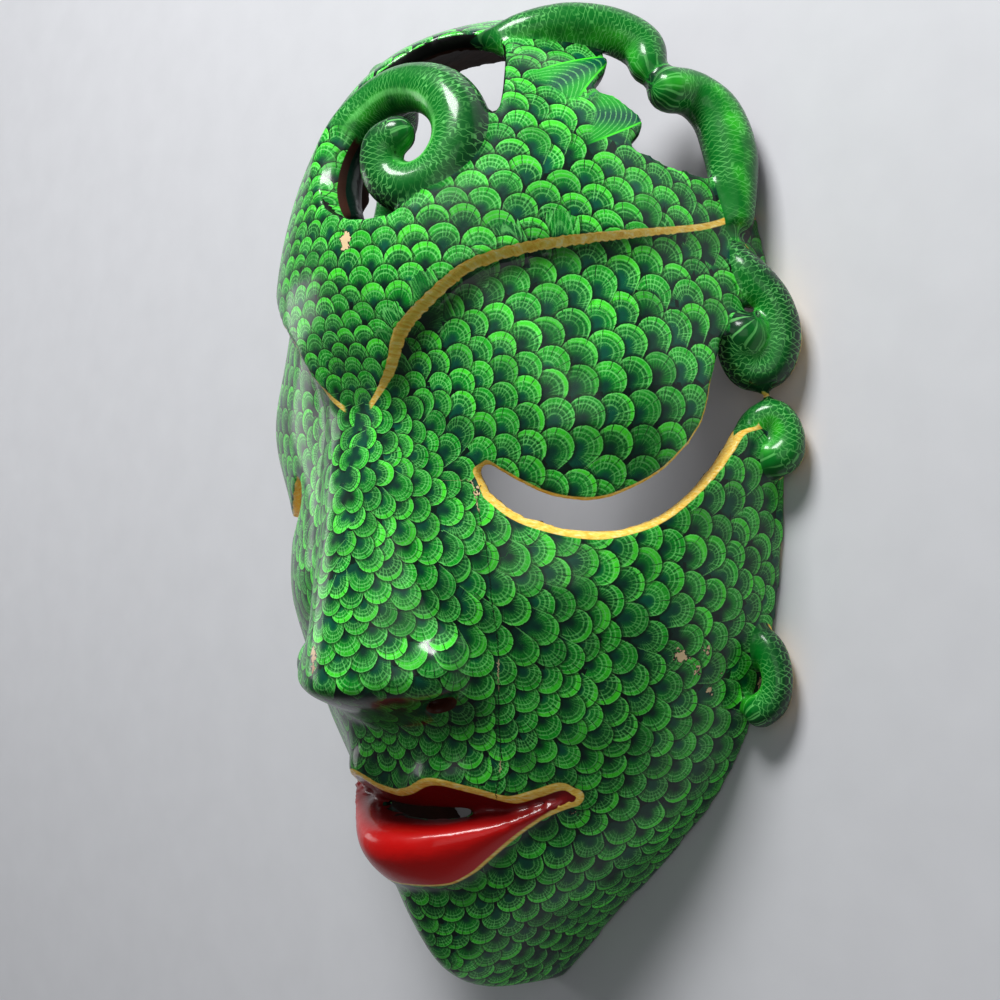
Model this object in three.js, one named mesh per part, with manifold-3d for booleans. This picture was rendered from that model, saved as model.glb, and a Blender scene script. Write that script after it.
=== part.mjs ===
import * as THREE from "three";
import { mergeVertices } from "three/addons/utils/BufferGeometryUtils.js";
import Module from "manifold-3d";

// A carved and hollowed wooden face mask that lies on its back rim, millimetres.
// X runs across the face, Y from the chin to the crown, Z out of the face; the rim is at Z = 0.

const LENGTH = 456; // chin to crown of the blank that the shares below are drawn on
const WIDTH = 260; // across the cheeks, without the side curls
const DEPTH = 150; // from the rim to the forehead
const WALL = 9; // thickness of the carved shell
const BROW_STEP = 9; // how far the lids lie below the edge of the forehead
const LID_SWELL = 11; // roundness of the closed lid
const BRIDGE_DIP = 11; // dip of the forehead between the eyes
const NOSE_HEIGHT = 37; // tip of the nose above the cheeks
const NOSE_HALF_WIDTH = 50; // at the wings
const WING_SWELL = 8; // roundness of each wing of the nose
const MUZZLE_SWELL = 12; // mound that carries the mouth
const FURROW_DEPTH = 3; // fold between the nose and the cheek
const LIP_SWELL = 14; // fullness of the lower lip
const LIP_FLARE = 9; // how far the two peaks of the upper lip turn out
const LIP_EDGE = 2; // ledge of the upper lip
const MOUTH_DEPTH = 9; // the line between the lips, below the mound
const EYE_BEVEL = 7; // slope cut on the cheek's edge of the eye slit
const ROLL_RADIUS = 12.5; // thick scrolls on the forehead and crown
const CURL_RADIUS = 8.5; // thin scrolls beside the face

const COLUMNS = 36; // facets across the front, and a third of them across the hollow
const ROUND = 8; // facets round a scroll
const FINENESS = 0.18; // edges that bend the surface by less are merged

// Section of the blank along its length, from chin to crown:
// shares of the half width, of the depth and of the half length.
const BLANK = [
  [0, 0, -1.018],
  [0.062, 0.29, -1.01],
  [0.155, 0.47, -0.958],
  [0.32, 0.56, -0.86],
  [0.54, 0.587, -0.737],
  [0.745, 0.613, -0.605],
  [0.892, 0.733, -0.439],
  [0.99, 0.887, -0.184],
  [1, 0.947, 0.11],
  [0.94, 1, 0.404],
  [0.8, 0.92, 0.658],
  [0.6, 0.733, 0.842],
  [0.346, 0.44, 0.952],
  [0.123, 0.16, 0.991],
  [0, 0, 0.996],
];

// Lines of the carving on the right half: degrees round from the middle, share of the half length.
const LOWER_LIP = [
  [0, -0.781], [20, -0.774], [27, -0.75], [31, -0.719],
  [36, -0.671], [41, -0.634], [46, -0.61], [60, -0.592], [90, -0.561],
];
const MOUTH = [
  [0, -0.645], [10, -0.645], [22, -0.636], [33, -0.627],
  [41, -0.612], [46, -0.603], [60, -0.579], [90, -0.539],
];
const UPPER_LIP = [
  [0, -0.614], [6, -0.605], [14, -0.583], [22, -0.596],
  [30, -0.614], [36, -0.601], [42, -0.5855], [46, -0.5965], [60, -0.566], [90, -0.518],
];
const NOSE_BASE = [
  [0, -0.5], [15, -0.491], [24, -0.465], [30, -0.439], [45, -0.417], [90, -0.373],
];
const NOSE_TIP = [
  [0, -0.425], [15, -0.421], [24, -0.404], [30, -0.373], [45, -0.329], [90, -0.272],
];
const UNDER_EYE = [
  [0, -0.132], [20, -0.114], [35, -0.123], [48, -0.14], [60, -0.114], [72, -0.026],
  [84, 0.088], [90, 0.123],
];
const BROW = [
  [0, 0.105], [4, 0.118], [11, 0.175], [15, 0.237], [22, 0.294], [30, 0.351],
  [40, 0.386], [50, 0.408], [61, 0.43], [74, 0.461], [83, 0.496], [90, 0.518],
];

// Eye slit: its cheek edge and its lid edge, from the inner corner out past the rim.
const CHEEK_EDGE = [
  [27.5, -0.012], [28, -0.04], [31, -0.07], [35, -0.097], [40, -0.114], [45, -0.124],
  [50, -0.127], [55, -0.118], [61, -0.096], [66, -0.061], [71, -0.013], [75, 0.035],
  [78, 0.075], [82, 0.092], [88, 0.11], [104, 0.12],
];
const LID_EDGE = [
  [30, 0.002], [33, -0.016], [37, -0.037], [41, -0.054], [46, -0.063], [51, -0.06],
  [56, -0.04], [61, -0.01], [65, 0.03], [68, 0.07], [70, 0.11], [71.5, 0.16],
  [74, 0.22], [78, 0.285], [84, 0.33], [104, 0.34],
];

// Scroll hole in the forehead, off the middle, and the fretwork cut-out at the crown.
const SCROLL_HOLE = [
  [35, 0.825], [36.5, 0.745], [36, 0.667], [33, 0.575], [27, 0.52], [20, 0.48], [12, 0.458],
  [4, 0.465], [-4, 0.5], [-9, 0.56], [-12, 0.62], [-13.5, 0.68], [-12, 0.745], [-7, 0.79],
  [0, 0.822], [6, 0.86], [14, 0.873], [24, 0.866], [31, 0.85],
];
const FRETWORK = [
  [49, 1.0], [49, 0.87], [52, 0.834], [57, 0.838], [62.5, 0.822], [60.5, 0.78], [56, 0.73],
  [61.5, 0.722], [66.5, 0.678], [65.5, 0.645], [62, 0.612], [70, 0.582], [78, 0.578],
  [104, 0.57], [104, 1.0],
];
const MOUTH_GAP = [
  [-23, -0.637], [-12, -0.655], [0, -0.659], [12, -0.655], [23, -0.637], [12, -0.632],
  [0, -0.634], [-12, -0.632],
];

// Scrolls, drawn through points: shares of the half width, half length and depth, and thickness.
const FOREHEAD_SCROLL = [
  [-0.235, 0.53, 0.84, 0.6], [-0.215, 0.62, 0.88, 0.66], [-0.13, 0.7, 0.86, 0.7],
  [0.01, 0.735, 0.82, 0.76], [0.15, 0.735, 0.8, 0.86], [0.27, 0.705, 0.79, 0.96],
  [0.35, 0.65, 0.79, 1.02], [0.365, 0.585, 0.805, 1.04], [0.31, 0.53, 0.84, 1.0],
  [0.225, 0.515, 0.885, 0.9], [0.165, 0.555, 0.915, 0.78], [0.185, 0.61, 0.915, 0.72],
  [0.24, 0.62, 0.91, 0.8],
];
const CROWN_SCROLL = [
  [0.27, 0.845, 0.58, 0.62], [0.36, 0.868, 0.53, 0.7], [0.46, 0.885, 0.43, 0.8],
  [0.555, 0.877, 0.32, 0.84], [0.62, 0.847, 0.265, 0.82], [0.655, 0.805, 0.275, 0.7],
];
const TEMPLE_SCROLL = [
  [0.9, 0.48, 0.12, 0.6], [0.875, 0.57, 0.105, 0.85], [0.85, 0.64, 0.097, 0.97],
  [0.8, 0.72, 0.115, 0.92], [0.75, 0.755, 0.175, 0.82], [0.725, 0.752, 0.25, 0.82],
];
const TEMPLE_CURL = [
  [0.87, 0.43, 0.13, 0.9], [0.95, 0.385, 0.12, 1.0], [1.02, 0.33, 0.085, 0.95],
  [1.045, 0.26, 0.068, 0.95], [1.01, 0.205, 0.085, 1.0], [0.95, 0.2, 0.12, 1.0],
  [0.93, 0.245, 0.15, 1.1], [0.96, 0.265, 0.155, 1.15],
];
const EYE_CURL = [
  [0.93, 0.06, 0.12, 0.75], [0.965, 0.105, 0.105, 0.75], [1.02, 0.12, 0.078, 0.75],
  [1.06, 0.09, 0.06, 0.75], [1.055, 0.045, 0.064, 0.95], [1.03, 0.035, 0.075, 1.0],
];
const CHEEK_CURL = [
  [0.955, -0.3, 0.06, 0.75], [0.995, -0.33, 0.058, 0.85], [1.02, -0.375, 0.057, 0.8],
  [1.0, -0.42, 0.06, 0.85], [0.965, -0.435, 0.07, 0.9],
];

const sin = (degrees) => Math.sin(THREE.MathUtils.degToRad(degrees));
const cos = (degrees) => Math.cos(THREE.MathUtils.degToRad(degrees));
const hump = (distance, reach) => Math.exp(-((distance / reach) ** 2));
const { clamp, lerp, smoothstep } = THREE.MathUtils;

// A smooth height through [place, height] pairs, level beyond the last one.
function lineThrough(points) {
  const slope = points.map((_, i) => {
    const before = points[Math.max(i - 1, 0)];
    const after = points[Math.min(i + 1, points.length - 1)];
    return (after[1] - before[1]) / (after[0] - before[0]);
  });
  return (place) => {
    const x = clamp(place, points[0][0], points.at(-1)[0]);
    const i = Math.max(points.findIndex((p, k) => k > 0 && x <= p[0]) - 1, 0);
    const [[x0, y0], [x1, y1]] = [points[i], points[i + 1]];
    const [span, t] = [x1 - x0, (x - x0) / (x1 - x0)];
    const rise = y0 + (y1 - y0) * t * t * (3 - 2 * t);
    return rise + span * t * (1 - t) * (slope[i] * (1 - t) - slope[i + 1] * t);
  };
}

const blank = new THREE.CatmullRomCurve3(
  BLANK.map(([w, d, l]) => new THREE.Vector3((w * WIDTH) / 2, (l * LENGTH) / 2, d * DEPTH)),
  false,
  "catmullrom",
  0.5,
);
const STATIONS = 1200;
const stations = Array.from({ length: STATIONS + 1 }, (_, i) => blank.getPoint(i / STATIONS).y);

// Place along the blank, 0 at the chin and 1 at the crown, of a height y.
function stationOf(y) {
  let [low, high] = [0, STATIONS];
  while (high - low > 1) {
    const middle = (low + high) >> 1;
    if (stations[middle] > y) high = middle;
    else low = middle;
  }
  return (low + clamp((y - stations[low]) / (stations[high] - stations[low]), 0, 1)) / STATIONS;
}

// Outward direction of the blank's oval section.
function outward(angle, station) {
  const nearby = 0.002;
  const t = clamp(station, nearby, 1 - nearby);
  const here = blank.getPoint(t);
  const step = blank.getPoint(t + nearby).sub(blank.getPoint(t - nearby));
  const slope = sin(angle) ** 2 * step.x * here.z + cos(angle) ** 2 * step.z * here.x;
  return new THREE.Vector3(
    here.z * sin(angle) * step.y,
    -slope,
    here.x * cos(angle) * step.y,
  ).normalize();
}

function onBlank(angle, station, lift = 0) {
  const here = blank.getPoint(station);
  const point = new THREE.Vector3(here.x * sin(angle), here.y, here.z * cos(angle));
  return point.addScaledVector(outward(angle, station), lift);
}

const half = LENGTH / 2;
const [chin, crown] = [BLANK[0][2] * half, BLANK.at(-1)[2] * half];
const carved = (line) => {
  const share = lineThrough(line);
  return (angle) => share(Math.abs(angle)) * half;
};
const lowerLip = carved(LOWER_LIP);
const mouth = carved(MOUTH);
const upperLip = carved(UPPER_LIP);
const brow = carved(BROW);

// Carving along the skin: the lids lie lower than the forehead's edge and swell in the middle.
const LID_MIDDLE = { side: 52, y: 0.12, reachSide: 21, reachY: 0.15 };
const LID_HOLLOW = { inner: [4, 17], outer: [25, 88], below: [-0.26, -0.02] };

function skinLift(angle, y, onForehead) {
  if (onForehead) return 0;
  const side = Math.abs(angle);
  const { inner, outer, below } = LID_HOLLOW;
  const across = smoothstep(side, ...inner) * (1 - smoothstep(side, ...outer));
  const hollow = BROW_STEP * across * smoothstep(y / half, ...below);
  const { side: middle, y: height, reachSide, reachY } = LID_MIDDLE;
  const swell = LID_SWELL * hump(side - middle, reachSide) * hump(y / half - height, reachY);
  return swell - hollow;
}

// Carving straight out of the face, at shares of the half length.
const BRIDGE = { y: 0.1, reach: 0.115, across: 0.68 * NOSE_HALF_WIDTH };
const NOSE = { top: -0.066, length: 0.35, narrow: 0.44, bottom: -0.42, rise: 0.04, under: 0.072 };
const WING = { across: 0.7, y: -0.385, reach: 12, reachY: 0.055 };
const MOUND = { reachSide: 32, y: -0.66, reachY: 0.165 };
const FURROW = { side: 33, reachSide: 9, y: -0.5, reachY: 0.13 };

function noseLift(x, height) {
  const down = clamp((NOSE.top - height) / NOSE.length, 0, 1);
  const halfWidth = lerp(NOSE.narrow * NOSE_HALF_WIDTH, NOSE_HALF_WIDTH, down);
  const arch = Math.max(0, 1 - (x / halfWidth) ** 2) ** 1.15;
  const bottom = NOSE.bottom + NOSE.rise * (x / NOSE_HALF_WIDTH) ** 2;
  const tip = smoothstep(height, bottom - NOSE.under, bottom + 0.01);
  const besideTip = hump(x - WING.across * NOSE_HALF_WIDTH, WING.reach);
  const wing = WING_SWELL * besideTip * hump(height - WING.y, WING.reachY);
  return (NOSE_HEIGHT * down ** 1.2 * arch + wing) * tip;
}

function frontLift(angle, y) {
  const side = Math.abs(angle);
  const height = y / half;
  const x = blank.getPoint(stationOf(y)).x * sin(side);
  const bridge = -BRIDGE_DIP * hump(height - BRIDGE.y, BRIDGE.reach) * hump(x, BRIDGE.across);
  const mound = MUZZLE_SWELL * hump(side, MOUND.reachSide) * hump(height - MOUND.y, MOUND.reachY);
  const beside = hump(side - FURROW.side, FURROW.reachSide);
  const furrow = -FURROW_DEPTH * beside * hump(height - FURROW.y, FURROW.reachY);
  return bridge + noseLift(x, height) + mound + furrow;
}

// The lips: two peaks above, a full roll below, drawn in to the line between them.
const LIP_CORNER = 46;
const PEAK = { side: 15, reachSide: 11, reachY: 0.055 };

function lipLift(angle, y) {
  const side = Math.abs(angle);
  const taper = Math.max(0, 1 - (side / LIP_CORNER) ** 2) ** 0.6;
  const [low, middle, high] = [lowerLip(side), mouth(side), upperLip(side)];
  const flare = LIP_FLARE * hump(side - PEAK.side, PEAK.reachSide);
  if (y > high + LEDGE / 2) return flare * hump((y - high) / half, PEAK.reachY);
  if (y < low) return 0;
  if (y > middle) {
    const up = clamp((y - middle) / (high - middle), 0, 1);
    return lerp(-MOUTH_DEPTH, flare - LIP_EDGE, up ** 1.5) * taper;
  }
  const up = (y - low) / (middle - low);
  const roll = LIP_SWELL * Math.sin(Math.PI * Math.min(1, 0.1 + up * 0.9)) ** 0.75;
  return (roll - MOUTH_DEPTH * smoothstep(up, 0.7, 1)) * taper;
}

// Rows of the front from chin to crown: each runs between two lines of the carving.
// The last row of a band that ends on a ledge and the first row above it are LEDGE apart.
const LEDGE = 1;
const noseBase = carved(NOSE_BASE);
const noseTip = carved(NOSE_TIP);
const underEye = carved(UNDER_EYE);
const BANDS = [
  { from: () => chin, to: lowerLip, steps: 7 },
  { from: lowerLip, to: mouth, steps: 5 },
  { from: mouth, to: upperLip, steps: 3, ledge: true },
  { from: (angle) => upperLip(angle) + LEDGE, to: noseBase, steps: 3 },
  { from: noseBase, to: noseTip, steps: 4 },
  { from: noseTip, to: underEye, steps: 5 },
  { from: underEye, to: brow, steps: 8, ledge: true },
  { from: (angle) => brow(angle) + LEDGE, to: () => crown, steps: 11, ledge: true, forehead: true },
];
const rows = BANDS.flatMap((band) =>
  Array.from({ length: band.ledge ? band.steps + 1 : band.steps }, (_, i) => ({
    ...band,
    share: i / band.steps,
  })),
);

const spread = (u) => 90 * lerp(u ** 3, u, 0.62);
const columnsOf = (count) =>
  Array.from({ length: count + 1 }, (_, i) => spread((2 * i) / count - 1));

const stationIn = ({ from, to, share }, angle) =>
  lerp(stationOf(from(angle)), stationOf(to(angle)), share);

function frontPoint(row, angle) {
  const station = stationIn(row, angle);
  const y = blank.getPoint(station).y;
  const point = onBlank(angle, station, skinLift(angle, y, row.forehead));
  point.z += (frontLift(angle, y) + lipLift(angle, y)) * cos(angle) ** 0.5;
  return point;
}

// The hollow follows the nose and the brow by half, and stays smooth behind the lips.
function hollowPoint(row, angle) {
  const station = stationIn(row, angle);
  const y = blank.getPoint(station).y;
  const skin = Math.min(0, skinLift(angle, y, row.forehead));
  const point = onBlank(angle, station, 0.6 * skin - WALL);
  point.z += 0.55 * frontLift(angle, y) * cos(angle) ** 0.5;
  return point;
}

// The shell: a front skin and a hollow skin joined along the flat rim.
function shellGeometry() {
  const positions = [];
  const faces = [];
  const skin = (angles, pointAt) =>
    rows.map((row, r) => {
      const pole = r === 0 || r === rows.length - 1;
      return angles.map((angle, c) => {
        if (pole && c > 0) return positions.length / 3 - 1;
        const point = pointAt(row, pole ? 0 : angle);
        if (pole || Math.abs(angle) === 90) point.z = 0;
        positions.push(point.x, point.y, point.z);
        return positions.length / 3 - 1;
      });
    });
  const quad = (a, b, c, d) => {
    for (const face of [[a, b, c], [a, c, d]]) {
      if (new Set(face).size === 3) faces.push(...face);
    }
  };
  const front = skin(columnsOf(COLUMNS), frontPoint);
  const hollow = skin(columnsOf(Math.round(COLUMNS / 3)), hollowPoint);
  for (let r = 0; r + 1 < rows.length; r++) {
    for (let c = 0; c + 1 < front[r].length; c++)
      quad(front[r][c], front[r][c + 1], front[r + 1][c + 1], front[r + 1][c]);
    for (let c = 0; c + 1 < hollow[r].length; c++)
      quad(hollow[r][c + 1], hollow[r][c], hollow[r + 1][c], hollow[r + 1][c + 1]);
    quad(hollow[r][0], front[r][0], front[r + 1][0], hollow[r + 1][0]);
    quad(front[r].at(-1), hollow[r].at(-1), hollow[r + 1].at(-1), front[r + 1].at(-1));
  }
  const geometry = new THREE.BufferGeometry();
  geometry.setAttribute("position", new THREE.Float32BufferAttribute(positions, 3));
  return geometry.setIndex(faces);
}

// A closed body through rings of points that each have the same number of points.
function lofted(rings, capAt) {
  const count = rings[0].length;
  const positions = rings.flat().flatMap((p) => [p.x, p.y, p.z]);
  const faces = [];
  for (let r = 0; r + 1 < rings.length; r++) {
    for (let i = 0; i < count; i++) {
      const [a, b] = [r * count + i, r * count + ((i + 1) % count)];
      faces.push(a, b, b + count, a, b + count, a + count);
    }
  }
  const caps = THREE.ShapeUtils.triangulateShape(capAt, []);
  const last = (rings.length - 1) * count;
  for (const [a, b, c] of caps) faces.push(c, b, a, last + a, last + b, last + c);
  const geometry = new THREE.BufferGeometry();
  geometry.setAttribute("position", new THREE.Float32BufferAttribute(positions, 3));
  return geometry.setIndex(faces);
}

// Drawn flat, an outline's share of the half length counts as this many degrees.
const FLAT = 90;

// A cutter through the wall along a closed outline on the face, wider outside where it is bevelled.
function cutter(outline, inside = outline) {
  const reach = 3.5 * WALL; // how far it runs past both faces
  const ringAt = (line, extra) =>
    line.map(([angle, share]) => {
      const y = share * half;
      const lift = skinLift(clamp(angle, -90, 90), y, y > brow(angle));
      return onBlank(angle, stationOf(y), lift + extra);
    });
  const rings = [
    ringAt(inside, -reach),
    ringAt(inside, -WALL),
    ringAt(outline, 0),
    ringAt(outline, 1.4 * reach),
  ];
  const flatOutline = outline.map(([angle, share]) => new THREE.Vector2(angle, share * FLAT));
  const turn = THREE.ShapeUtils.isClockWise(flatOutline);
  if (turn) {
    rings.forEach((ring) => ring.reverse());
    flatOutline.reverse();
  }
  return lofted(rings, flatOutline);
}

// Points of a smooth closed line through the drawn ones.
function closedLine(points, count) {
  const curve = new THREE.CatmullRomCurve3(
    points.map(([a, s]) => new THREE.Vector3(a, s * FLAT, 0)),
    true,
    "centripetal",
  );
  return curve.getSpacedPoints(count).slice(0, count).map((p) => [p.x, p.y / FLAT]);
}

const mirrored = (line) => line.map(([angle, share]) => [-angle, share]);

function eyeSlit(side) {
  const [cheekEdge, lidEdge] = [lineThrough(CHEEK_EDGE), lineThrough(LID_EDGE)];
  const steps = 26;
  const along = (line, turn) =>
    Array.from({ length: steps + 1 }, (_, i) => {
      const share = (turn ? steps - i : i) / steps;
      return lerp(line[0][0], line.at(-1)[0], share ** 0.9);
    });
  const lower = along(CHEEK_EDGE, false).map((angle) => [angle, cheekEdge(angle)]);
  const upper = along(LID_EDGE, true).map((angle) => [angle, lidEdge(angle)]);
  const bevel = EYE_BEVEL / half;
  const lowerInside = lower.map(([angle, share]) => {
    const room = lidEdge(angle) - share;
    return [angle + 1.2, share + Math.min(bevel, 0.5 * Math.max(room, 0))];
  });
  const [outline, inside] = [lower.concat(upper), lowerInside.concat(upper)];
  return side > 0 ? cutter(outline, inside) : cutter(mirrored(outline), mirrored(inside));
}

// A scroll: a round bar through drawn points that changes thickness, with a domed end.
const DOME = [35, 65]; // degrees round the end at which it has a ring

function scroll(points, radius, side, stepsPerPoint) {
  const place = ([x, y, z]) => new THREE.Vector3((side * x * WIDTH) / 2, y * half, z * DEPTH);
  const curve = new THREE.CatmullRomCurve3(points.map(place), false, "centripetal");
  const steps = (points.length - 1) * stepsPerPoint;
  const frames = curve.computeFrenetFrames(steps, false);
  const thickness = lineThrough(points.map((point, i) => [i, point[3]]));
  const radiusAt = (u) => radius * thickness(curve.getUtoTmapping(u) * (points.length - 1));
  const ring = (centre, i, size) =>
    Array.from({ length: ROUND }, (_, k) =>
      centre
        .clone()
        .addScaledVector(frames.normals[i], size * cos((360 * k) / ROUND))
        .addScaledVector(frames.binormals[i], size * sin((360 * k) / ROUND)),
    );
  const rings = Array.from({ length: steps + 1 }, (_, i) =>
    ring(curve.getPointAt(i / steps), i, radiusAt(i / steps)),
  );
  const [end, endRadius] = [curve.getPointAt(1), radiusAt(1)];
  for (const lean of DOME) {
    const centre = end.clone().addScaledVector(frames.tangents[steps], endRadius * sin(lean));
    rings.push(ring(centre, steps, endRadius * cos(lean)));
  }
  const cap = Array.from(
    { length: ROUND },
    (_, k) => new THREE.Vector2(cos((360 * k) / ROUND), sin((360 * k) / ROUND)),
  );
  return lofted(rings, cap);
}

const wasm = await Module();
wasm.setup();

// A closed mesh as a solid, turned right side out where its rings ran the other way.
function solidOf(geometry) {
  const merged = mergeVertices(geometry, 1e-4);
  const vertProperties = merged.attributes.position.array;
  const triVerts = new Uint32Array(merged.index.array);
  const solid = new wasm.Manifold(new wasm.Mesh({ numProp: 3, vertProperties, triVerts }));
  if (solid.volume() > 0) return solid;
  return new wasm.Manifold(
    new wasm.Mesh({ numProp: 3, vertProperties, triVerts: triVerts.toReversed() }),
  );
}

function geometryOf(solid) {
  const mesh = solid.getMesh();
  const geometry = new THREE.BufferGeometry();
  geometry.setAttribute("position", new THREE.Float32BufferAttribute(mesh.vertProperties, 3));
  geometry.setIndex(Array.from(mesh.triVerts));
  geometry.computeVertexNormals();
  return geometry;
}

function carveMask() {
  const openings = [
    eyeSlit(1),
    eyeSlit(-1),
    cutter(closedLine(SCROLL_HOLE, 34)),
    cutter(FRETWORK),
    cutter(mirrored(FRETWORK)),
    cutter(closedLine(MOUTH_GAP, 14)),
  ];
  const scrolls = [scroll(FOREHEAD_SCROLL, ROLL_RADIUS, 1, 3)];
  for (const side of [1, -1]) {
    for (const line of [CROWN_SCROLL, TEMPLE_SCROLL])
      scrolls.push(scroll(line, ROLL_RADIUS, side, 2));
    for (const line of [TEMPLE_CURL, EYE_CURL, CHEEK_CURL])
      scrolls.push(scroll(line, CURL_RADIUS, side, 2));
  }
  const cut = openings.reduce((body, one) => body.subtract(solidOf(one)), solidOf(shellGeometry()));
  const carved = scrolls.reduce((body, one) => body.add(solidOf(one)), cut);
  return carved.simplify(FINENESS).translate(0, -(chin + crown) / 2, 0);
}

const mask = new THREE.Mesh(
  geometryOf(carveMask()),
  new THREE.MeshStandardMaterial({ color: 0x1f8a34, roughness: 0.3, metalness: 0 }),
);
mask.name = "mask";

const part = new THREE.Group();
part.add(mask);

export default part;
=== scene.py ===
# %% [markdown]
# A batik wooden mask: a half-round shell of wood with closed lids, parted lips and pierced
# scrolls, painted all over with green scales and varnished. The solid of the mask is loaded
# first, and everything here is drawn over it, from its measured box.

import heapq
import math

import bmesh
import bpy
import numpy as np
from mathutils import Matrix, Vector
from mathutils.bvhtree import BVHTree
from mathutils.geometry import barycentric_transform
from mathutils.kdtree import KDTree


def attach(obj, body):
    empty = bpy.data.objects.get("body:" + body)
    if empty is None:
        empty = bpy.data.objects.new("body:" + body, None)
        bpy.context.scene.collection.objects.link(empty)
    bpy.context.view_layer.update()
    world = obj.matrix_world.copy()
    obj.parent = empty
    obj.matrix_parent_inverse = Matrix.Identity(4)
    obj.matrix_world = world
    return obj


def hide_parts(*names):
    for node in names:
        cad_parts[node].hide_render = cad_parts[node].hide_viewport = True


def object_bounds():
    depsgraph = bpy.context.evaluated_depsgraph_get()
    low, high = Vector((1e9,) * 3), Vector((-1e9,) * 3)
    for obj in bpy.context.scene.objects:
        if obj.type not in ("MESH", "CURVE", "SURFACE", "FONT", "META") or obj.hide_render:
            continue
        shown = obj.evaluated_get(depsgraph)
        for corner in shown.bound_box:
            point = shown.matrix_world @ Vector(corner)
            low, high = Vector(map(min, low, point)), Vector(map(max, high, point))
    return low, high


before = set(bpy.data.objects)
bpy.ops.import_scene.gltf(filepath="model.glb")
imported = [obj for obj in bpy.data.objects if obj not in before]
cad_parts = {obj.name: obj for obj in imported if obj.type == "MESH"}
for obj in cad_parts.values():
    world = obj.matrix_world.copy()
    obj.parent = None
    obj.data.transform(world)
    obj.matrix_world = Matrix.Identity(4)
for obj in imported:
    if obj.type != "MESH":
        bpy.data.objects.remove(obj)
cad_low, cad_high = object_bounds()

# %% [markdown]
# The carver's blank is an oval log, split lengthwise and rounded off at chin and crown. It is
# drawn here as a section that changes along its length: half width, depth and place, as shares.
# A point of the face is then found by an angle round the log and a height along it, so that
# every line of the carving can be drawn flat, as on paper wrapped round the log.

# %% The blank
CHIN_END, CROWN_END = -1.018, 0.996
HALF = (cad_high[1] - cad_low[1]) / (CROWN_END - CHIN_END)  # half the length of the blank
MM = HALF / 228  # one millimetre, at the size of the solid
WIDTH, DEPTH, WALL = 260 * MM, 150 * MM, 9 * MM
MIDDLE = -(CHIN_END + CROWN_END) / 2 * HALF  # the blank's middle is moved to the origin
BLANK = [
    (0, 0, CHIN_END), (0.062, 0.29, -1.01), (0.155, 0.47, -0.958), (0.32, 0.56, -0.86),
    (0.54, 0.587, -0.737), (0.745, 0.613, -0.605), (0.892, 0.733, -0.439), (0.99, 0.887, -0.184),
    (1, 0.947, 0.11), (0.94, 1, 0.404), (0.8, 0.92, 0.658), (0.6, 0.733, 0.842),
    (0.346, 0.44, 0.952), (0.123, 0.16, 0.991), (0, 0, CROWN_END),
]


def drawn(points, shares, evening=0.0, closed=False):
    """Points of a smooth line through drawn points; evening 0.5 keeps close turns tidy."""
    p = np.array(points, float)
    if closed:
        p = np.vstack([p[-1:], p, p[:2]])
    else:
        p = np.vstack([2 * p[0] - p[1], p, 2 * p[-1] - p[-2]])
    gap = np.maximum(np.linalg.norm(np.diff(p, axis=0), axis=1) ** evening, 1e-6)[:, None]
    spans = len(p) - 3
    at = np.clip(np.asarray(shares, float) * spans, 0, spans - 1e-9)
    i = at.astype(int)
    t = (at - i)[:, None]
    a, b, c, d = p[i], p[i + 1], p[i + 2], p[i + 3]
    g0, g1, g2 = gap[i], gap[i + 1], gap[i + 2]
    start = ((b - a) / g0 - (c - a) / (g0 + g1) + (c - b) / g1) * g1
    end = ((c - b) / g1 - (d - b) / (g1 + g2) + (d - c) / g2) * g1
    return b + start * t + (3 * (c - b) - 2 * start - end) * t**2 + (2 * (b - c) + start + end) * t**3


STATIONS = np.linspace(0, 1, 1201)
section = drawn(BLANK, STATIONS) * (WIDTH / 2, DEPTH, HALF)


def at_station(share):
    """Half width, depth and height of the blank at a share of its outline."""
    return [np.interp(share, STATIONS, section[:, k]) for k in range(3)]


def station_of(height):
    return np.interp(height, section[:, 2], STATIONS)


def outward(angle, share):
    """Direction straight out of the blank."""
    near = np.clip(share, 0.002, 0.998)
    wide, deep, _ = at_station(near)
    w1, d1, y1 = at_station(near + 0.002)
    w0, d0, y0 = at_station(near - 0.002)
    s, c = np.sin(np.radians(angle)), np.cos(np.radians(angle))
    slope = s**2 * (w1 - w0) * deep + c**2 * (d1 - d0) * wide
    n = np.stack([deep * s * (y1 - y0), -slope, wide * c * (y1 - y0)], -1)
    return n / np.linalg.norm(n, axis=-1, keepdims=True)


def on_blank(angle, share, lift=0.0):
    wide, deep, y = at_station(share)
    s, c = np.sin(np.radians(angle)), np.cos(np.radians(angle))
    point = np.stack([wide * s, y, deep * c], -1)
    return point + outward(angle, share) * np.asarray(lift)[..., None]


print("blank", round(WIDTH / MM), "x", round(2 * HALF / MM), "x", round(DEPTH / MM), "mm")

# %% [markdown]
# The carved lines come next: the brow, the lips, the nose and the eye slits. Each is a height
# that changes with the angle round the face. They are the same lines as in the solid, because
# the painted surface has to lie on it.

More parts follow.
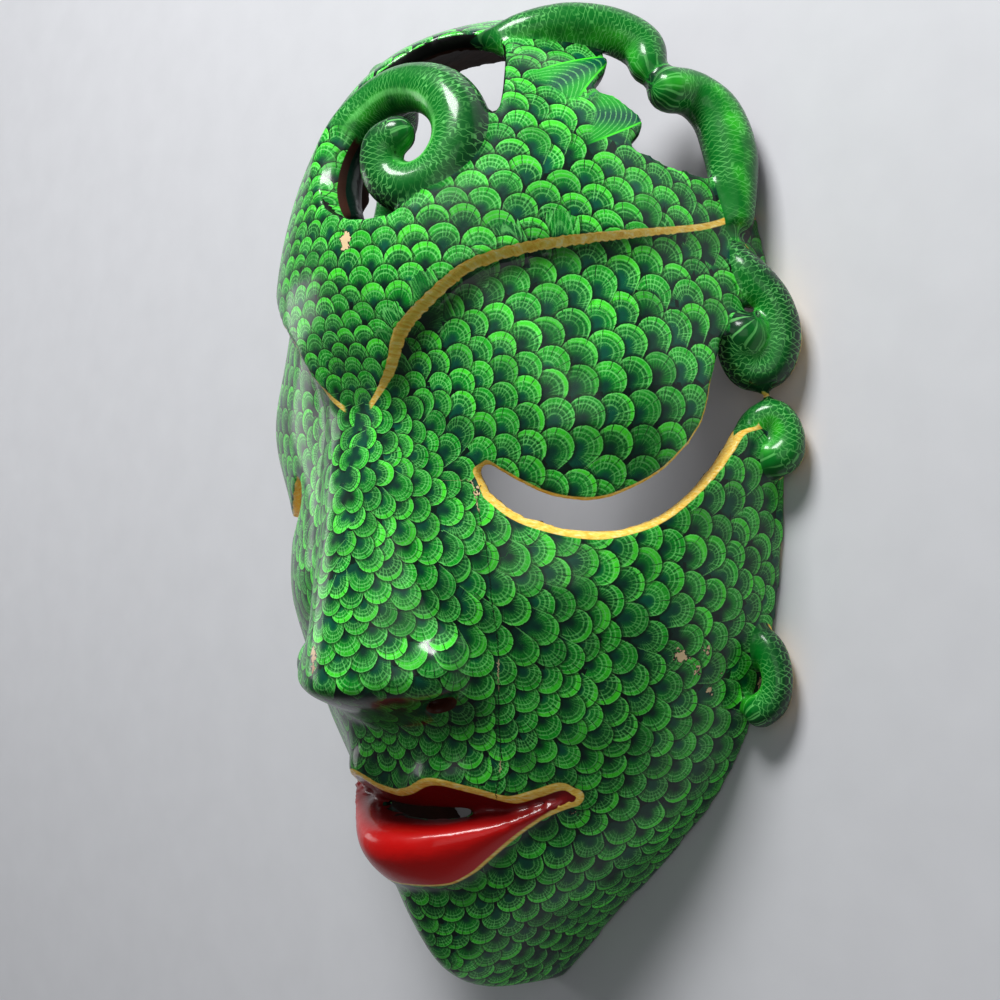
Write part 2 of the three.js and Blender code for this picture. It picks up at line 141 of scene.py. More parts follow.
# %% Lines of the carving
LOWER_LIP = [(0, -0.781), (20, -0.774), (27, -0.75), (31, -0.719), (36, -0.671), (41, -0.634),
             (46, -0.61), (60, -0.592), (90, -0.561)]
MOUTH = [(0, -0.645), (10, -0.645), (22, -0.636), (33, -0.627), (41, -0.612), (46, -0.603),
         (60, -0.579), (90, -0.539)]
UPPER_LIP = [(0, -0.614), (6, -0.605), (14, -0.583), (22, -0.596), (30, -0.614), (36, -0.601),
             (42, -0.5855), (46, -0.5965), (60, -0.566), (90, -0.518)]
BROW = [(0, 0.105), (4, 0.118), (11, 0.175), (15, 0.237), (22, 0.294), (30, 0.351), (40, 0.386),
        (50, 0.408), (61, 0.43), (74, 0.461), (83, 0.496), (90, 0.518)]
CHEEK_EDGE = [(27.5, -0.012), (28, -0.04), (31, -0.07), (35, -0.097), (40, -0.114), (45, -0.124),
              (50, -0.127), (55, -0.118), (61, -0.096), (66, -0.061), (71, -0.013), (75, 0.035),
              (78, 0.075), (82, 0.092), (88, 0.11), (104, 0.12)]
LID_EDGE = [(30, 0.002), (33, -0.016), (37, -0.037), (41, -0.054), (46, -0.063), (51, -0.06),
            (56, -0.04), (61, -0.01), (65, 0.03), (68, 0.07), (70, 0.11), (71.5, 0.16),
            (74, 0.22), (78, 0.285), (84, 0.33), (104, 0.34)]
SCROLL_HOLE = [(35, 0.825), (36.5, 0.745), (36, 0.667), (33, 0.575), (27, 0.52), (20, 0.48),
               (12, 0.458), (4, 0.465), (-4, 0.5), (-9, 0.56), (-12, 0.62), (-13.5, 0.68),
               (-12, 0.745), (-7, 0.79), (0, 0.822), (6, 0.86), (14, 0.873), (24, 0.866), (31, 0.85)]
FRETWORK = [(49, 1.0), (49, 0.87), (52, 0.834), (57, 0.838), (62.5, 0.822), (60.5, 0.78),
            (56, 0.73), (61.5, 0.722), (66.5, 0.678), (65.5, 0.645), (62, 0.612), (70, 0.582),
            (78, 0.578), (104, 0.57), (104, 1.0)]
MOUTH_GAP = [(-23, -0.637), (-12, -0.655), (0, -0.659), (12, -0.655), (23, -0.637), (12, -0.632),
             (0, -0.634), (-12, -0.632)]


def line_through(points):
    """Height along a drawn line, level beyond its ends."""
    x, y = np.array(points, float).T
    order = np.arange(len(x))
    before, after = np.maximum(order - 1, 0), np.minimum(order + 1, len(x) - 1)
    slope = (y[after] - y[before]) / (x[after] - x[before])

    def height(place):
        at = np.clip(place, x[0], x[-1])
        i = np.clip(np.searchsorted(x, at, side="left") - 1, 0, len(x) - 2)
        span = x[i + 1] - x[i]
        t = (at - x[i]) / span
        rise = y[i] + (y[i + 1] - y[i]) * t * t * (3 - 2 * t)
        return rise + span * t * (1 - t) * (slope[i] * (1 - t) - slope[i + 1] * t)

    return height


def carved(points):
    """The same line on both halves of the face, as a real height."""
    share = line_through(points)
    return lambda angle: share(np.abs(angle)) * HALF


lower_lip, mouth, upper_lip = carved(LOWER_LIP), carved(MOUTH), carved(UPPER_LIP)
brow, lid_edge = carved(BROW), carved(LID_EDGE)
print("brow runs from", round(float(brow(0)) / MM), "to", round(float(brow(90)) / MM), "mm")

# %% [markdown]
# The relief is what the gouge leaves above or below the blank: lids that swell under a cut-back
# brow, a nose, the mound of the mouth and the lips. Each is one smooth hump or step, so that
# the forms flow into each other as on carved and sanded wood.

# %% Relief of the face
BROW_STEP, LID_SWELL, BRIDGE_DIP = 9 * MM, 11 * MM, 11 * MM
NOSE_HEIGHT, NOSE_HALF_WIDTH, WING_SWELL = 37 * MM, 50 * MM, 8 * MM
MUZZLE_SWELL, FURROW_DEPTH = 12 * MM, 3 * MM
LIP_SWELL, LIP_FLARE, LIP_EDGE, MOUTH_DEPTH = 14 * MM, 9 * MM, 2 * MM, 9 * MM
LIP_CORNER = 46  # degrees round the face
LEDGE = 1 * MM


def hump(distance, reach):
    return np.exp(-((distance / reach) ** 2))


def step(x, low, high):
    t = np.clip((x - low) / (high - low), 0, 1)
    return t * t * (3 - 2 * t)


def skin_lift(angle, y, on_forehead):
    side, h = np.abs(angle), y / HALF
    cut_back = BROW_STEP * step(side, 4, 17) * (1 - step(side, 25, 88)) * step(h, -0.26, -0.02)
    swell = LID_SWELL * hump(side - 52, 21) * hump(h - 0.12, 0.15)
    return np.where(on_forehead, 0, swell - cut_back)


def nose_lift(x, h):
    down = np.clip((-0.066 - h) / 0.35, 0, 1)
    half_width = NOSE_HALF_WIDTH * (0.44 + 0.56 * down)
    arch = np.maximum(0, 1 - (x / half_width) ** 2) ** 1.15
    bottom = -0.42 + 0.04 * (x / NOSE_HALF_WIDTH) ** 2
    wing = WING_SWELL * hump(x - 0.7 * NOSE_HALF_WIDTH, 12 * MM) * hump(h + 0.385, 0.055)
    return (NOSE_HEIGHT * down**1.2 * arch + wing) * step(h, bottom - 0.072, bottom + 0.01)


def front_lift(angle, y):
    side, h = np.abs(angle), y / HALF
    x = at_station(station_of(y))[0] * np.sin(np.radians(side))
    bridge = -BRIDGE_DIP * hump(h - 0.1, 0.115) * hump(x, 0.68 * NOSE_HALF_WIDTH)
    mound = MUZZLE_SWELL * hump(side, 32) * hump(h + 0.66, 0.165)
    furrow = -FURROW_DEPTH * hump(side - 33, 9) * hump(h + 0.5, 0.13)
    return bridge + nose_lift(x, h) + mound + furrow


def lip_lift(angle, y):
    side = np.abs(angle)
    taper = np.maximum(0, 1 - (side / LIP_CORNER) ** 2) ** 0.6
    low, middle, high = lower_lip(side), mouth(side), upper_lip(side)
    flare = LIP_FLARE * hump(side - 15, 11)
    above = flare * hump((y - high) / HALF, 0.055)
    up = np.clip((y - middle) / (high - middle), 0, 1)
    upper = (-MOUTH_DEPTH + (flare - LIP_EDGE + MOUTH_DEPTH) * up**1.5) * taper
    rise = np.clip((y - low) / (middle - low), 0, 1)
    roll = LIP_SWELL * np.sin(np.pi * np.minimum(1, 0.1 + rise * 0.9)) ** 0.75
    lower = (roll - MOUTH_DEPTH * step(rise, 0.7, 1)) * taper
    return np.where(y > high + LEDGE / 2, above, np.where(y > middle, upper, np.where(y < low, 0, lower)))


def front_point(angle, y, on_forehead=None):
    """A point of the carved front, from its angle and height."""
    angle, y = np.broadcast_arrays(np.asarray(angle, float), np.asarray(y, float))
    if on_forehead is None:
        on_forehead = y > brow(angle) + LEDGE / 2
    point = on_blank(angle, station_of(y), skin_lift(angle, y, on_forehead))
    out = np.maximum(np.cos(np.radians(angle)), 0) ** 0.5
    point[..., 2] += (front_lift(angle, y) + lip_lift(angle, y)) * out
    return point


def hollow_point(angle, y, on_forehead):
    """A point of the hollow, which follows the nose and the brow by half."""
    skin = np.minimum(0, skin_lift(angle, y, on_forehead))
    point = on_blank(angle, station_of(y), 0.6 * skin - WALL)
    point[..., 2] += 0.55 * front_lift(angle, y) * np.maximum(np.cos(np.radians(angle)), 0) ** 0.5
    return point


tip = front_point([0.0], [-0.4 * HALF])[0]
print("tip of the nose is", round(tip[2] / MM), "mm above the rim")

# %% [markdown]
# The shell is two skins: the carved front and the hollow behind it. Each starts as a flat grid
# of bmesh, whose rows are then laid between the carved lines, so that an edge of the grid runs
# exactly along the brow and the lips. The two are bridged along the rim.

# %% The two skins and the rim
NOSE_BASE = carved([(0, -0.5), (15, -0.491), (24, -0.465), (30, -0.439), (45, -0.417), (90, -0.373)])
NOSE_TIP = carved([(0, -0.425), (15, -0.421), (24, -0.404), (30, -0.373), (45, -0.329), (90, -0.272)])
UNDER_EYE = carved([(0, -0.132), (20, -0.114), (35, -0.123), (48, -0.14), (60, -0.114),
                    (72, -0.026), (84, 0.088), (90, 0.123)])
CHIN, CROWN = CHIN_END * HALF, CROWN_END * HALF
BANDS = [
    (lambda a: CHIN + 0 * a, lower_lip, 26, False),
    (lower_lip, mouth, 12, False),
    (mouth, upper_lip, 8, False),
    (lambda a: upper_lip(a) + LEDGE, NOSE_BASE, 10, False),
    (NOSE_BASE, NOSE_TIP, 10, False),
    (NOSE_TIP, UNDER_EYE, 26, False),
    (UNDER_EYE, brow, 30, False),
    (lambda a: brow(a) + LEDGE, lambda a: CROWN + 0 * a, 44, True),
]
ROWS = [(low, high, k / steps, forehead) for low, high, steps, forehead in BANDS for k in range(steps + 1)]
FRONT_COLUMNS, HOLLOW_COLUMNS = 180, 80
CROWDING = 0.38  # how much closer the columns stand at the nose than at the rim


def outside_out(bm):
    """Turns the faces of a closed body outwards, by the sign of its volume."""
    bmesh.ops.recalc_face_normals(bm, faces=bm.faces)
    if bm.calc_volume(signed=True) < 0:
        bmesh.ops.reverse_faces(bm, faces=bm.faces)


def poured(bm, into):
    """Adds a finished body to another bmesh."""
    mesh = bpy.data.meshes.new("body")
    bm.to_mesh(mesh)
    into.from_mesh(mesh)
    bm.free()


def extruded(bm, edges):
    """The edges and vertices of a ring drawn out of the one before it."""
    made = bmesh.ops.extrude_edge_only(bm, edges=edges)["geom"]
    return ([g for g in made if isinstance(g, bmesh.types.BMEdge)],
            [g for g in made if isinstance(g, bmesh.types.BMVert)])


def skin(point_at, columns):
    """A grid whose rows follow the carving; returns it with the angle and height of each vertex."""
    bm = bmesh.new()
    bmesh.ops.create_grid(bm, x_segments=columns, y_segments=len(ROWS) - 1, size=1)
    co = np.array([v.co for v in bm.verts])
    across = co[:, 0]
    angle = 90 * np.sign(across) * (CROWDING * np.abs(across) ** 3 + (1 - CROWDING) * np.abs(across))
    row = np.rint((co[:, 1] + 1) / 2 * (len(ROWS) - 1)).astype(int)
    share, forehead = np.zeros(len(co)), np.zeros(len(co), bool)
    for r, (low, high, part, on_forehead) in enumerate(ROWS):
        here = row == r
        a = angle[here]
        share[here] = station_of(low(a)) * (1 - part) + station_of(high(a)) * part
        forehead[here] = on_forehead
    y = at_station(share)[2]
    pole = (row == 0) | (row == len(ROWS) - 1)
    place = point_at(np.where(pole, 0, angle), y, forehead)
    place[pole | (np.abs(angle) > 89.99), 2] = 0
    for v, p in zip(bm.verts, place):
        v.co = p
    return bm, angle, y


def arrays_of(bm):
    """Corners and triangles of a body, which itself keeps its four-sided faces."""
    copy = bm.copy()
    bmesh.ops.triangulate(copy, faces=copy.faces)
    copy.verts.index_update()
    points, faces = [v.co.copy() for v in copy.verts], [[v.index for v in f.verts] for f in copy.faces]
    copy.free()
    return points, faces


shell = bmesh.new()
lookups = {}
for name, point_at, columns in (("front", front_point, FRONT_COLUMNS),
                                ("hollow", hollow_point, HOLLOW_COLUMNS)):
    sheet, angle, y = skin(point_at, columns)
    points, faces = arrays_of(sheet)
    lookups[name] = (BVHTree.FromPolygons(points, faces), points, faces, angle, y)
    poured(sheet, shell)
bmesh.ops.remove_doubles(shell, verts=shell.verts, dist=0.01 * MM)
rim = [e for e in shell.edges if e.is_boundary]
for side in (1, -1):
    half_rim = [e for e in rim if side * (e.verts[0].co.x + e.verts[1].co.x) > 0]
    bmesh.ops.bridge_loops(shell, edges=half_rim)
outside_out(shell)
print("shell of", len(shell.faces), "faces, open edges:", sum(not e.is_manifold for e in shell.edges))
print("wood of", round(shell.calc_volume() * 1e6), "cubic centimetres")

# %% [markdown]
# The slits and holes are sawn through the wall. A cutter for each is drawn flat, in degrees and
# height, pulled up into a prism by extruding its outline, and only then wrapped round the blank.
# The cheek's edge of the eye slit is bevelled, so the prism is narrower inside.

# %% Cutters
FLAT = 90.0  # one half length counts as this many degrees while a cutter is flat
REACH = 3.5 * WALL
EYE_BEVEL, CORNER_BEVEL = 3 * MM / HALF, 1.2  # up the cheek as a share, and in degrees
SLIT_POINTS = 60  # along each edge of an eye slit, closer together at the nose


def resampled(outline, count, closed_smooth):
    points = np.array(outline, float) * (1, FLAT)
    if closed_smooth:
        return drawn(points, np.arange(count) / count, 0.5, closed=True)
    loop = np.vstack([points, points[:1]])
    length = np.r_[0, np.cumsum(np.linalg.norm(np.diff(loop, axis=0), axis=1))]
    at = np.union1d(np.linspace(0, length[-1], count), length)[:-1]
    return np.stack([np.interp(at, length, loop[:, k]) for k in range(2)], 1)


def wrapped(rings, lifts, into):
    """A prism through flat rings, wrapped round the blank and added to a bmesh."""
    bm = bmesh.new()
    number = bm.verts.layers.int.new("number")
    base = [bm.verts.new((a, h, 0)) for a, h in rings[0]]
    for k, v in enumerate(base):
        v[number] = k
    edges = [bm.edges.new((v, base[k - 1])) for k, v in enumerate(base)]
    layers, ends = [base], [edges]
    for _ in rings[1:]:
        edges, fresh = extruded(bm, edges)
        bmesh.ops.translate(bm, verts=fresh, vec=(0, 0, 1))
        layers.append(sorted(fresh, key=lambda v: v[number]))
        ends.append(edges)
    for loop in (ends[0], ends[-1]):
        cap = bmesh.ops.contextual_create(bm, geom=loop)["faces"]
        bmesh.ops.triangulate(bm, faces=cap)
    for ring, lift, layer in zip(rings, lifts, layers):
        angle, height = np.array(ring)[:, 0], np.array(ring)[:, 1] / FLAT * HALF
        inside = np.clip(angle, -90, 90)
        skin_there = skin_lift(inside, height, height > brow(inside))
        place = on_blank(angle, station_of(height), skin_there + lift)
        for v, p in zip(layer, place):
            v.co = p
    outside_out(bm)
    poured(bm, into)


def slit_outline():
    along = np.linspace(0, 1, SLIT_POINTS) ** 0.9
    back = np.linspace(1, 0, SLIT_POINTS) ** 0.9
    (cheek_start, cheek_end), (lid_start, lid_end) = [(e[0][0], e[-1][0]) for e in (CHEEK_EDGE, LID_EDGE)]
    a = cheek_start + (cheek_end - cheek_start) * along
    b = lid_start + (lid_end - lid_start) * back
    low, high = line_through(CHEEK_EDGE), line_through(LID_EDGE)
    outer = np.vstack([np.stack([a, low(a) * FLAT], 1), np.stack([b, high(b) * FLAT], 1)])
    inner = outer.copy()
    room = np.maximum(high(a) - low(a), 0)
    inner[:SLIT_POINTS, 0] += CORNER_BEVEL
    inner[:SLIT_POINTS, 1] += np.minimum(EYE_BEVEL, 0.5 * room) * FLAT
    return outer, inner


LIFTS = (-REACH, -WALL, 0, 1.4 * REACH)
cutters = bmesh.new()
outlines = {"slit": slit_outline()[0], "fretwork": resampled(FRETWORK, 90, False)}
for side in (1, -1):
    outer, inner = [ring * (side, 1) for ring in slit_outline()]
    wrapped([inner, inner, outer, outer], LIFTS, cutters)
    ring = outlines["fretwork"] * (side, 1)
    wrapped([ring] * 4, LIFTS, cutters)
for name, line, count in (("hole", SCROLL_HOLE, 120), ("gap", MOUTH_GAP, 40)):
    outlines[name] = resampled(line, count, True)
    wrapped([outlines[name]] * 4, LIFTS, cutters)
print("cutters", len(cutters.faces), "faces, open edges:", sum(not e.is_manifold for e in cutters.edges))

# %% [markdown]
# The wings of the nose are rounded into balls and a nostril is bored up into each of them. Both
# are stretched spheres: one pair is joined to the wood and the other is cut out of it.

# %% Wings and nostrils
WING_BALL = {"place": (35, -83.5, 115.5), "radii": (15, 14, 13.5)}
NOSTRIL = {"place": (33.5, -98.0, 111.5), "radii": (8, 4.5, 4.5)}


def pair_of_spheres(bm, place, radii):
    x, y, z = [v * MM for v in place]
    stretch = Matrix.Diagonal([r * MM for r in radii] + [1])
    for side in (1, -1):
        matrix = Matrix.Translation((side * x, y, z)) @ stretch
        bmesh.ops.create_icosphere(bm, subdivisions=4, radius=1, matrix=matrix)


wings = bmesh.new()
pair_of_spheres(wings, **WING_BALL)
nostrils = bmesh.new()
pair_of_spheres(nostrils, **NOSTRIL)
print("wings", len(wings.faces), "faces, nostrils", len(nostrils.faces))

# %% [markdown]
# A saw goes through the wall where the wood is open. A Boolean modifier does the same here: it
# takes the prisms out, joins the wings and takes the nostrils out, one after the other. Closed
# bodies with no gap in their skin are all that its fast solver asks for.

# %% Cut the shell
def as_object(bm, name):
    mesh = bpy.data.meshes.new(name)
    bm.to_mesh(mesh)
    bm.free()
    ob = bpy.data.objects.new(name, mesh)
    bpy.context.scene.collection.objects.link(ob)
    return ob


def applied(ob):
    """The object's mesh with its modifiers in it."""
    bpy.context.view_layer.update()
    graph = bpy.context.evaluated_depsgraph_get()
    mesh = bpy.data.meshes.new_from_object(ob.evaluated_get(graph))
    ob.modifiers.clear()
    ob.data = mesh
    return mesh


wood = as_object(shell, "wood")
for work, bodies in (("DIFFERENCE", cutters), ("UNION", wings), ("DIFFERENCE", nostrils)):
    tool = as_object(bodies, "tool")
    change = wood.modifiers.new(work, "BOOLEAN")
    change.object, change.operation, change.solver = tool, work, "MANIFOLD"
    print(work.lower(), len(applied(wood).polygons), "faces")
    bpy.data.objects.remove(tool)

# %% [markdown]
# Scrolls and curls are left standing in the wood and rounded with a gouge. Each is drawn as a
# few points with a thickness, and a ring of bmesh is extruded along the smooth line through
# them, step by step, and closed with a dome. The frame of each step is carried over from the
# last one, so that the ring doesn't twist.

# %% Scrolls
ROLL, CURL = 12.5 * MM, 8.5 * MM
FOREHEAD_SCROLL = [(-0.06, 0.455, 0.9, 0.8), (-0.15, 0.525, 0.875, 0.95), (-0.175, 0.61, 0.85, 0.98),
                   (-0.12, 0.68, 0.83, 0.92), (0.01, 0.735, 0.8, 0.86), (0.15, 0.735, 0.8, 0.86),
                   (0.27, 0.705, 0.79, 0.96), (0.35, 0.65, 0.79, 1.02), (0.365, 0.585, 0.805, 1.04),
                   (0.31, 0.53, 0.84, 1.0), (0.225, 0.515, 0.885, 0.9), (0.15, 0.545, 0.915, 0.78),
                   (0.15, 0.602, 0.925, 0.7), (0.2, 0.617, 0.91, 0.66)]
CROWN_SCROLL = [(0.27, 0.845, 0.58, 0.62), (0.36, 0.868, 0.53, 0.7), (0.46, 0.885, 0.43, 0.8),
                (0.555, 0.877, 0.32, 0.84), (0.62, 0.847, 0.265, 0.82), (0.655, 0.805, 0.275, 0.7)]
TEMPLE_SCROLL = [(0.9, 0.48, 0.12, 0.6), (0.875, 0.57, 0.105, 0.85), (0.85, 0.64, 0.097, 0.97),
                 (0.8, 0.72, 0.115, 0.92), (0.75, 0.755, 0.175, 0.82), (0.725, 0.752, 0.25, 0.82)]
TEMPLE_CURL = [(0.87, 0.43, 0.13, 0.9), (0.95, 0.385, 0.12, 1.0), (1.02, 0.33, 0.085, 0.95),
               (1.045, 0.26, 0.068, 0.95), (1.01, 0.205, 0.085, 1.0), (0.95, 0.2, 0.12, 1.0),
               (0.93, 0.245, 0.15, 1.1), (0.96, 0.265, 0.155, 1.15)]
EYE_CURL = [(0.93, 0.06, 0.12, 0.75), (0.965, 0.105, 0.105, 0.75), (1.02, 0.12, 0.078, 0.75),
            (1.06, 0.09, 0.06, 0.75), (1.055, 0.045, 0.064, 0.95), (1.03, 0.035, 0.075, 1.0)]
CHEEK_CURL = [(0.955, -0.3, 0.06, 0.75), (0.995, -0.33, 0.058, 0.85), (1.02, -0.375, 0.057, 0.8),
              (1.0, -0.42, 0.06, 0.85), (0.965, -0.435, 0.07, 0.9)]
SCROLLS = [("forehead", FOREHEAD_SCROLL, ROLL, 1)]
for side in (1, -1):
    SCROLLS += [("crown", CROWN_SCROLL, ROLL, side), ("temple", TEMPLE_SCROLL, ROLL, side)]
    SCROLLS += [("temple curl", TEMPLE_CURL, CURL, side), ("eye curl", EYE_CURL, CURL, side),
                ("cheek curl", CHEEK_CURL, CURL, side)]
ROUND = 28  # faces round a scroll
DOME = (15, 30, 45, 60, 75)


def scroll_path(points, radius, side):
    """Centres, frames and radii of a scroll, a step every 2 mm or so."""
    share = np.linspace(0, 1, 400)
    p = np.array(points, float)
    centre = drawn(p[:, :3] * (side * WIDTH / 2, HALF, DEPTH), share, 0.5)
    thick = line_through(list(enumerate(p[:, 3])))(share * (len(p) - 1)) * radius
    length = np.r_[0, np.cumsum(np.linalg.norm(np.diff(centre, axis=0), axis=1))]
    even = np.linspace(0, length[-1], int(length[-1] / (2 * MM)) + 1)
    centre = np.stack([np.interp(even, length, centre[:, k]) for k in range(3)], 1)
    thick = np.interp(even, length, thick)
    along = np.gradient(centre, axis=0)
    along /= np.linalg.norm(along, axis=1, keepdims=True)
    out = np.array([0, 0, 1.0])
    frames = []
    for t in along:
        out = out - t * (out @ t)
        out /= np.linalg.norm(out)
        frames.append((t, out, np.cross(t, out)))
    return centre, np.array(frames), thick, even


def scroll_body(path, into):
    centre, frames, thick, _ = path
    bm = bmesh.new()
    rings = [(centre[i], thick[i], frames[i]) for i in range(len(centre))]
    t, end, r = frames[-1][0], centre[-1], thick[-1]
    for rise in np.radians(DOME):
        rings.append((end + t * r * math.sin(rise), r * math.cos(rise), frames[-1]))

    def place(ring):
        middle, size, (t, out, side) = ring
        m = Matrix((out, side, t)).transposed().to_4x4() @ Matrix.Diagonal((size, size, size, 1))
        return Matrix.Translation(middle) @ m

    bmesh.ops.create_circle(bm, segments=ROUND, radius=1, cap_ends=True)
    bmesh.ops.transform(bm, matrix=place(rings[0]), verts=bm.verts)
    edges, last = bm.edges[:], place(rings[0])
    for ring in rings[1:]:
        edges, fresh = extruded(bm, edges)
        here = place(ring)
        bmesh.ops.transform(bm, matrix=here @ last.inverted(), verts=fresh)
        last = here
    bmesh.ops.contextual_create(bm, geom=edges)
    outside_out(bm)
    poured(bm, into)


joined = bmesh.new()
joined.from_mesh(wood.data)
paths = []
for kind, points, radius, side in SCROLLS:
    path = scroll_path(points, radius, side)
    paths.append((kind, path))
    scroll_body(path, joined)
bpy.data.objects.remove(wood)
print("forehead scroll is", round(paths[0][1][3][-1] / MM), "mm long")

# %% [markdown]
# Scrolls and shell are one piece of wood. A voxel remesh joins all that overlaps into one skin
# with soft edges, as sanding and thick paint leave them, and a light smoothing takes the
# voxels' steps away. The whole is then moved so that its middle is over the origin.

# %% One piece of wood
VOXEL = 2.0 * MM
TRIANGLES = 190000
NOSE_SIDE, NOSE_LOW, NOSE_HIGH, NOSE_FOOT = 56 * MM, -112 * MM, -62 * MM, 96 * MM  # sanded rounder
mask = as_object(joined, "batik_mask")
remesh = mask.modifiers.new("one piece", "REMESH")
remesh.mode, remesh.voxel_size, remesh.adaptivity = "VOXEL", VOXEL, 0
applied(mask)
bm = bmesh.new()
bm.from_mesh(mask.data)
nose = [v for v in bm.verts if abs(v.co.x) < NOSE_SIDE and NOSE_LOW < v.co.y < NOSE_HIGH
        and v.co.z > NOSE_FOOT]
for verts, passes in ((bm.verts, 3), (nose, 9)):
    for _ in range(passes):
        bmesh.ops.smooth_vert(bm, verts=verts, factor=0.5, use_axis_x=True, use_axis_y=True, use_axis_z=True)
bm.to_mesh(mask.data)
bm.free()
fewer = mask.modifiers.new("fewer faces", "DECIMATE")
fewer.ratio = min(1.0, TRIANGLES / sum(len(p.vertices) - 2 for p in mask.data.polygons))
mesh = applied(mask)
place = np.zeros(len(mesh.vertices) * 3, np.float32)
mesh.vertices.foreach_get("co", place)
place = place.reshape(-1, 3).astype(float)
place[:, 2] = np.maximum(place[:, 2], 0)
triangles = sum(len(p.vertices) - 2 for p in mesh.polygons)
print("one skin of", len(mesh.polygons), "faces,", triangles, "triangles")

# %% [markdown]
# The painter works by place: this is forehead, that is the wall of a hole, that is a roll. So
# each vertex learns how far it is from the carved front, the hollow and the nearest scroll,
# and where it lies on the flat drawing. These are kept as attributes, which the paint reads.
# Distances change evenly over a face, so a painted edge stays sharp between the vertices.

# %% Where each vertex lies
def nearest_on(name):
    tree, points, faces, angle, y = lookups[name]
    away, plan, below = np.zeros(len(place)), np.zeros((len(place), 2)), np.zeros(len(place), bool)
    for i, p in enumerate(place):
        spot, normal, face, distance = tree.find_nearest(Vector(p))
        below[i] = (Vector(p) - spot).dot(normal) < 0
        corners = faces[face]
        a = [points[c] for c in corners]
        b = [Vector((angle[c], y[c] / MM, 0)) for c in corners]
        flat = barycentric_transform(spot, *a, *b)
        away[i], plan[i] = distance, flat[:2]
    return away / MM, plan, below


def nearest_roll():
    """Distance to the nearest scroll's surface, its kind, and the place along and round it."""
    best = np.full(len(place), 60.0)
    roll = np.zeros((len(place), 3))
    drop = np.zeros(len(place))
    for kind, (centre, frames, thick, even) in paths:
        near = np.all((place > centre.min(0) - 30 * MM) & (place < centre.max(0) + 30 * MM), axis=1)
        which = np.nonzero(near)[0]
        gap = np.linalg.norm(place[which, None] - centre[None], axis=2) - thick[None]
        k = gap.argmin(1)
        away = gap[np.arange(len(which)), k] / MM
        closer = away < best[which]
        which, k = which[closer], k[closer]
        arm = place[which] - centre[k]
        out, side = frames[k, 1], frames[k, 2]
        turn = np.arctan2((arm * side).sum(1), (arm * out).sum(1)) / (2 * math.pi)
        best[which] = away[closer]
        roll[which] = np.stack([even[k] / MM, turn, np.full(len(k), float(KINDS.index(kind)))], 1)
        drop[which] = arm[:, 2] / thick[k]
    return best, roll, drop


KINDS = ["forehead", "crown", "temple", "temple curl", "eye curl", "cheek curl"]
front_mm, plan, below_skin = nearest_on("front")
hollow_mm, _, _ = nearest_on("hollow")
scroll_mm, roll, roll_height = nearest_roll()
for name, away in (("front", front_mm), ("hollow", hollow_mm), ("scroll", scroll_mm)):
    print("within a millimetre of", name, int((away < 1).sum()))

# %% [markdown]
# Painted lines follow carved ones: gold along the brow, the lips and the slits. The distance
# from each vertex to those lines is measured on the flat drawing, in millimetres, with a sign
# that tells the two sides apart. Cut walls get a positive number, and all other wood a negative.

# %% Distances to the lines
EDGE_DEPTH, WALL_REACH = 1.3, 2.5  # mm below the skin and from an opening where its wall starts
ARM_SKIN, ARM_SIDE = 1.2, -0.35  # mm off the forehead roll, and how far down its sides it keeps its paint
NOSTRIL_RIM = 1.16  # edge of the dark in a nostril, in its radii
angle_of, height_of = plan[:, 0], plan[:, 1] * MM


def arc_per_degree(height):
    wide, deep, _ = at_station(station_of(height))
    return (wide + deep) / 2 * math.pi / 180


def flat_mm(angle, height):
    return np.stack([angle * arc_per_degree(height), height], -1) / MM


def distance_to(outline, both_halves=True):
    """Signed distance in mm to a closed flat outline, negative inside."""
    ring = flat_mm(outline[:, 0], outline[:, 1] / FLAT * HALF)
    spot = flat_mm(np.abs(angle_of) if both_halves else angle_of, height_of)
    a, b = ring, np.roll(ring, -1, axis=0)
    away = np.full(len(spot), 1e9)
    inside = np.zeros(len(spot), bool)
    for p, q in zip(a, b):
        leg = q - p
        t = np.clip(((spot - p) @ leg) / max(leg @ leg, 1e-9), 0, 1)
        away = np.minimum(away, np.linalg.norm(spot - p - t[:, None] * leg, axis=1))
        crosses = (p[1] > spot[:, 1]) != (q[1] > spot[:, 1])
        reach = p[0] + (spot[:, 1] - p[1]) / (leg[1] if abs(leg[1]) > 1e-9 else 1e-9) * leg[0]
        inside ^= crosses & (spot[:, 0] < reach)
    return np.where(inside, -away, away)


def lip_outline():
    a = np.linspace(-1, LIP_CORNER, 60)
    b = np.linspace(LIP_CORNER, -1, 60)
    top = np.stack([a, upper_lip(a) / HALF * FLAT], 1)
    bottom = np.stack([b, lower_lip(b) / HALF * FLAT], 1)
    return np.vstack([top, bottom])


def slope_of(line, angle, height):
    rise = (line(np.abs(angle) + 1) - line(np.abs(angle) - 1)) / 2
    return rise / arc_per_degree(height)


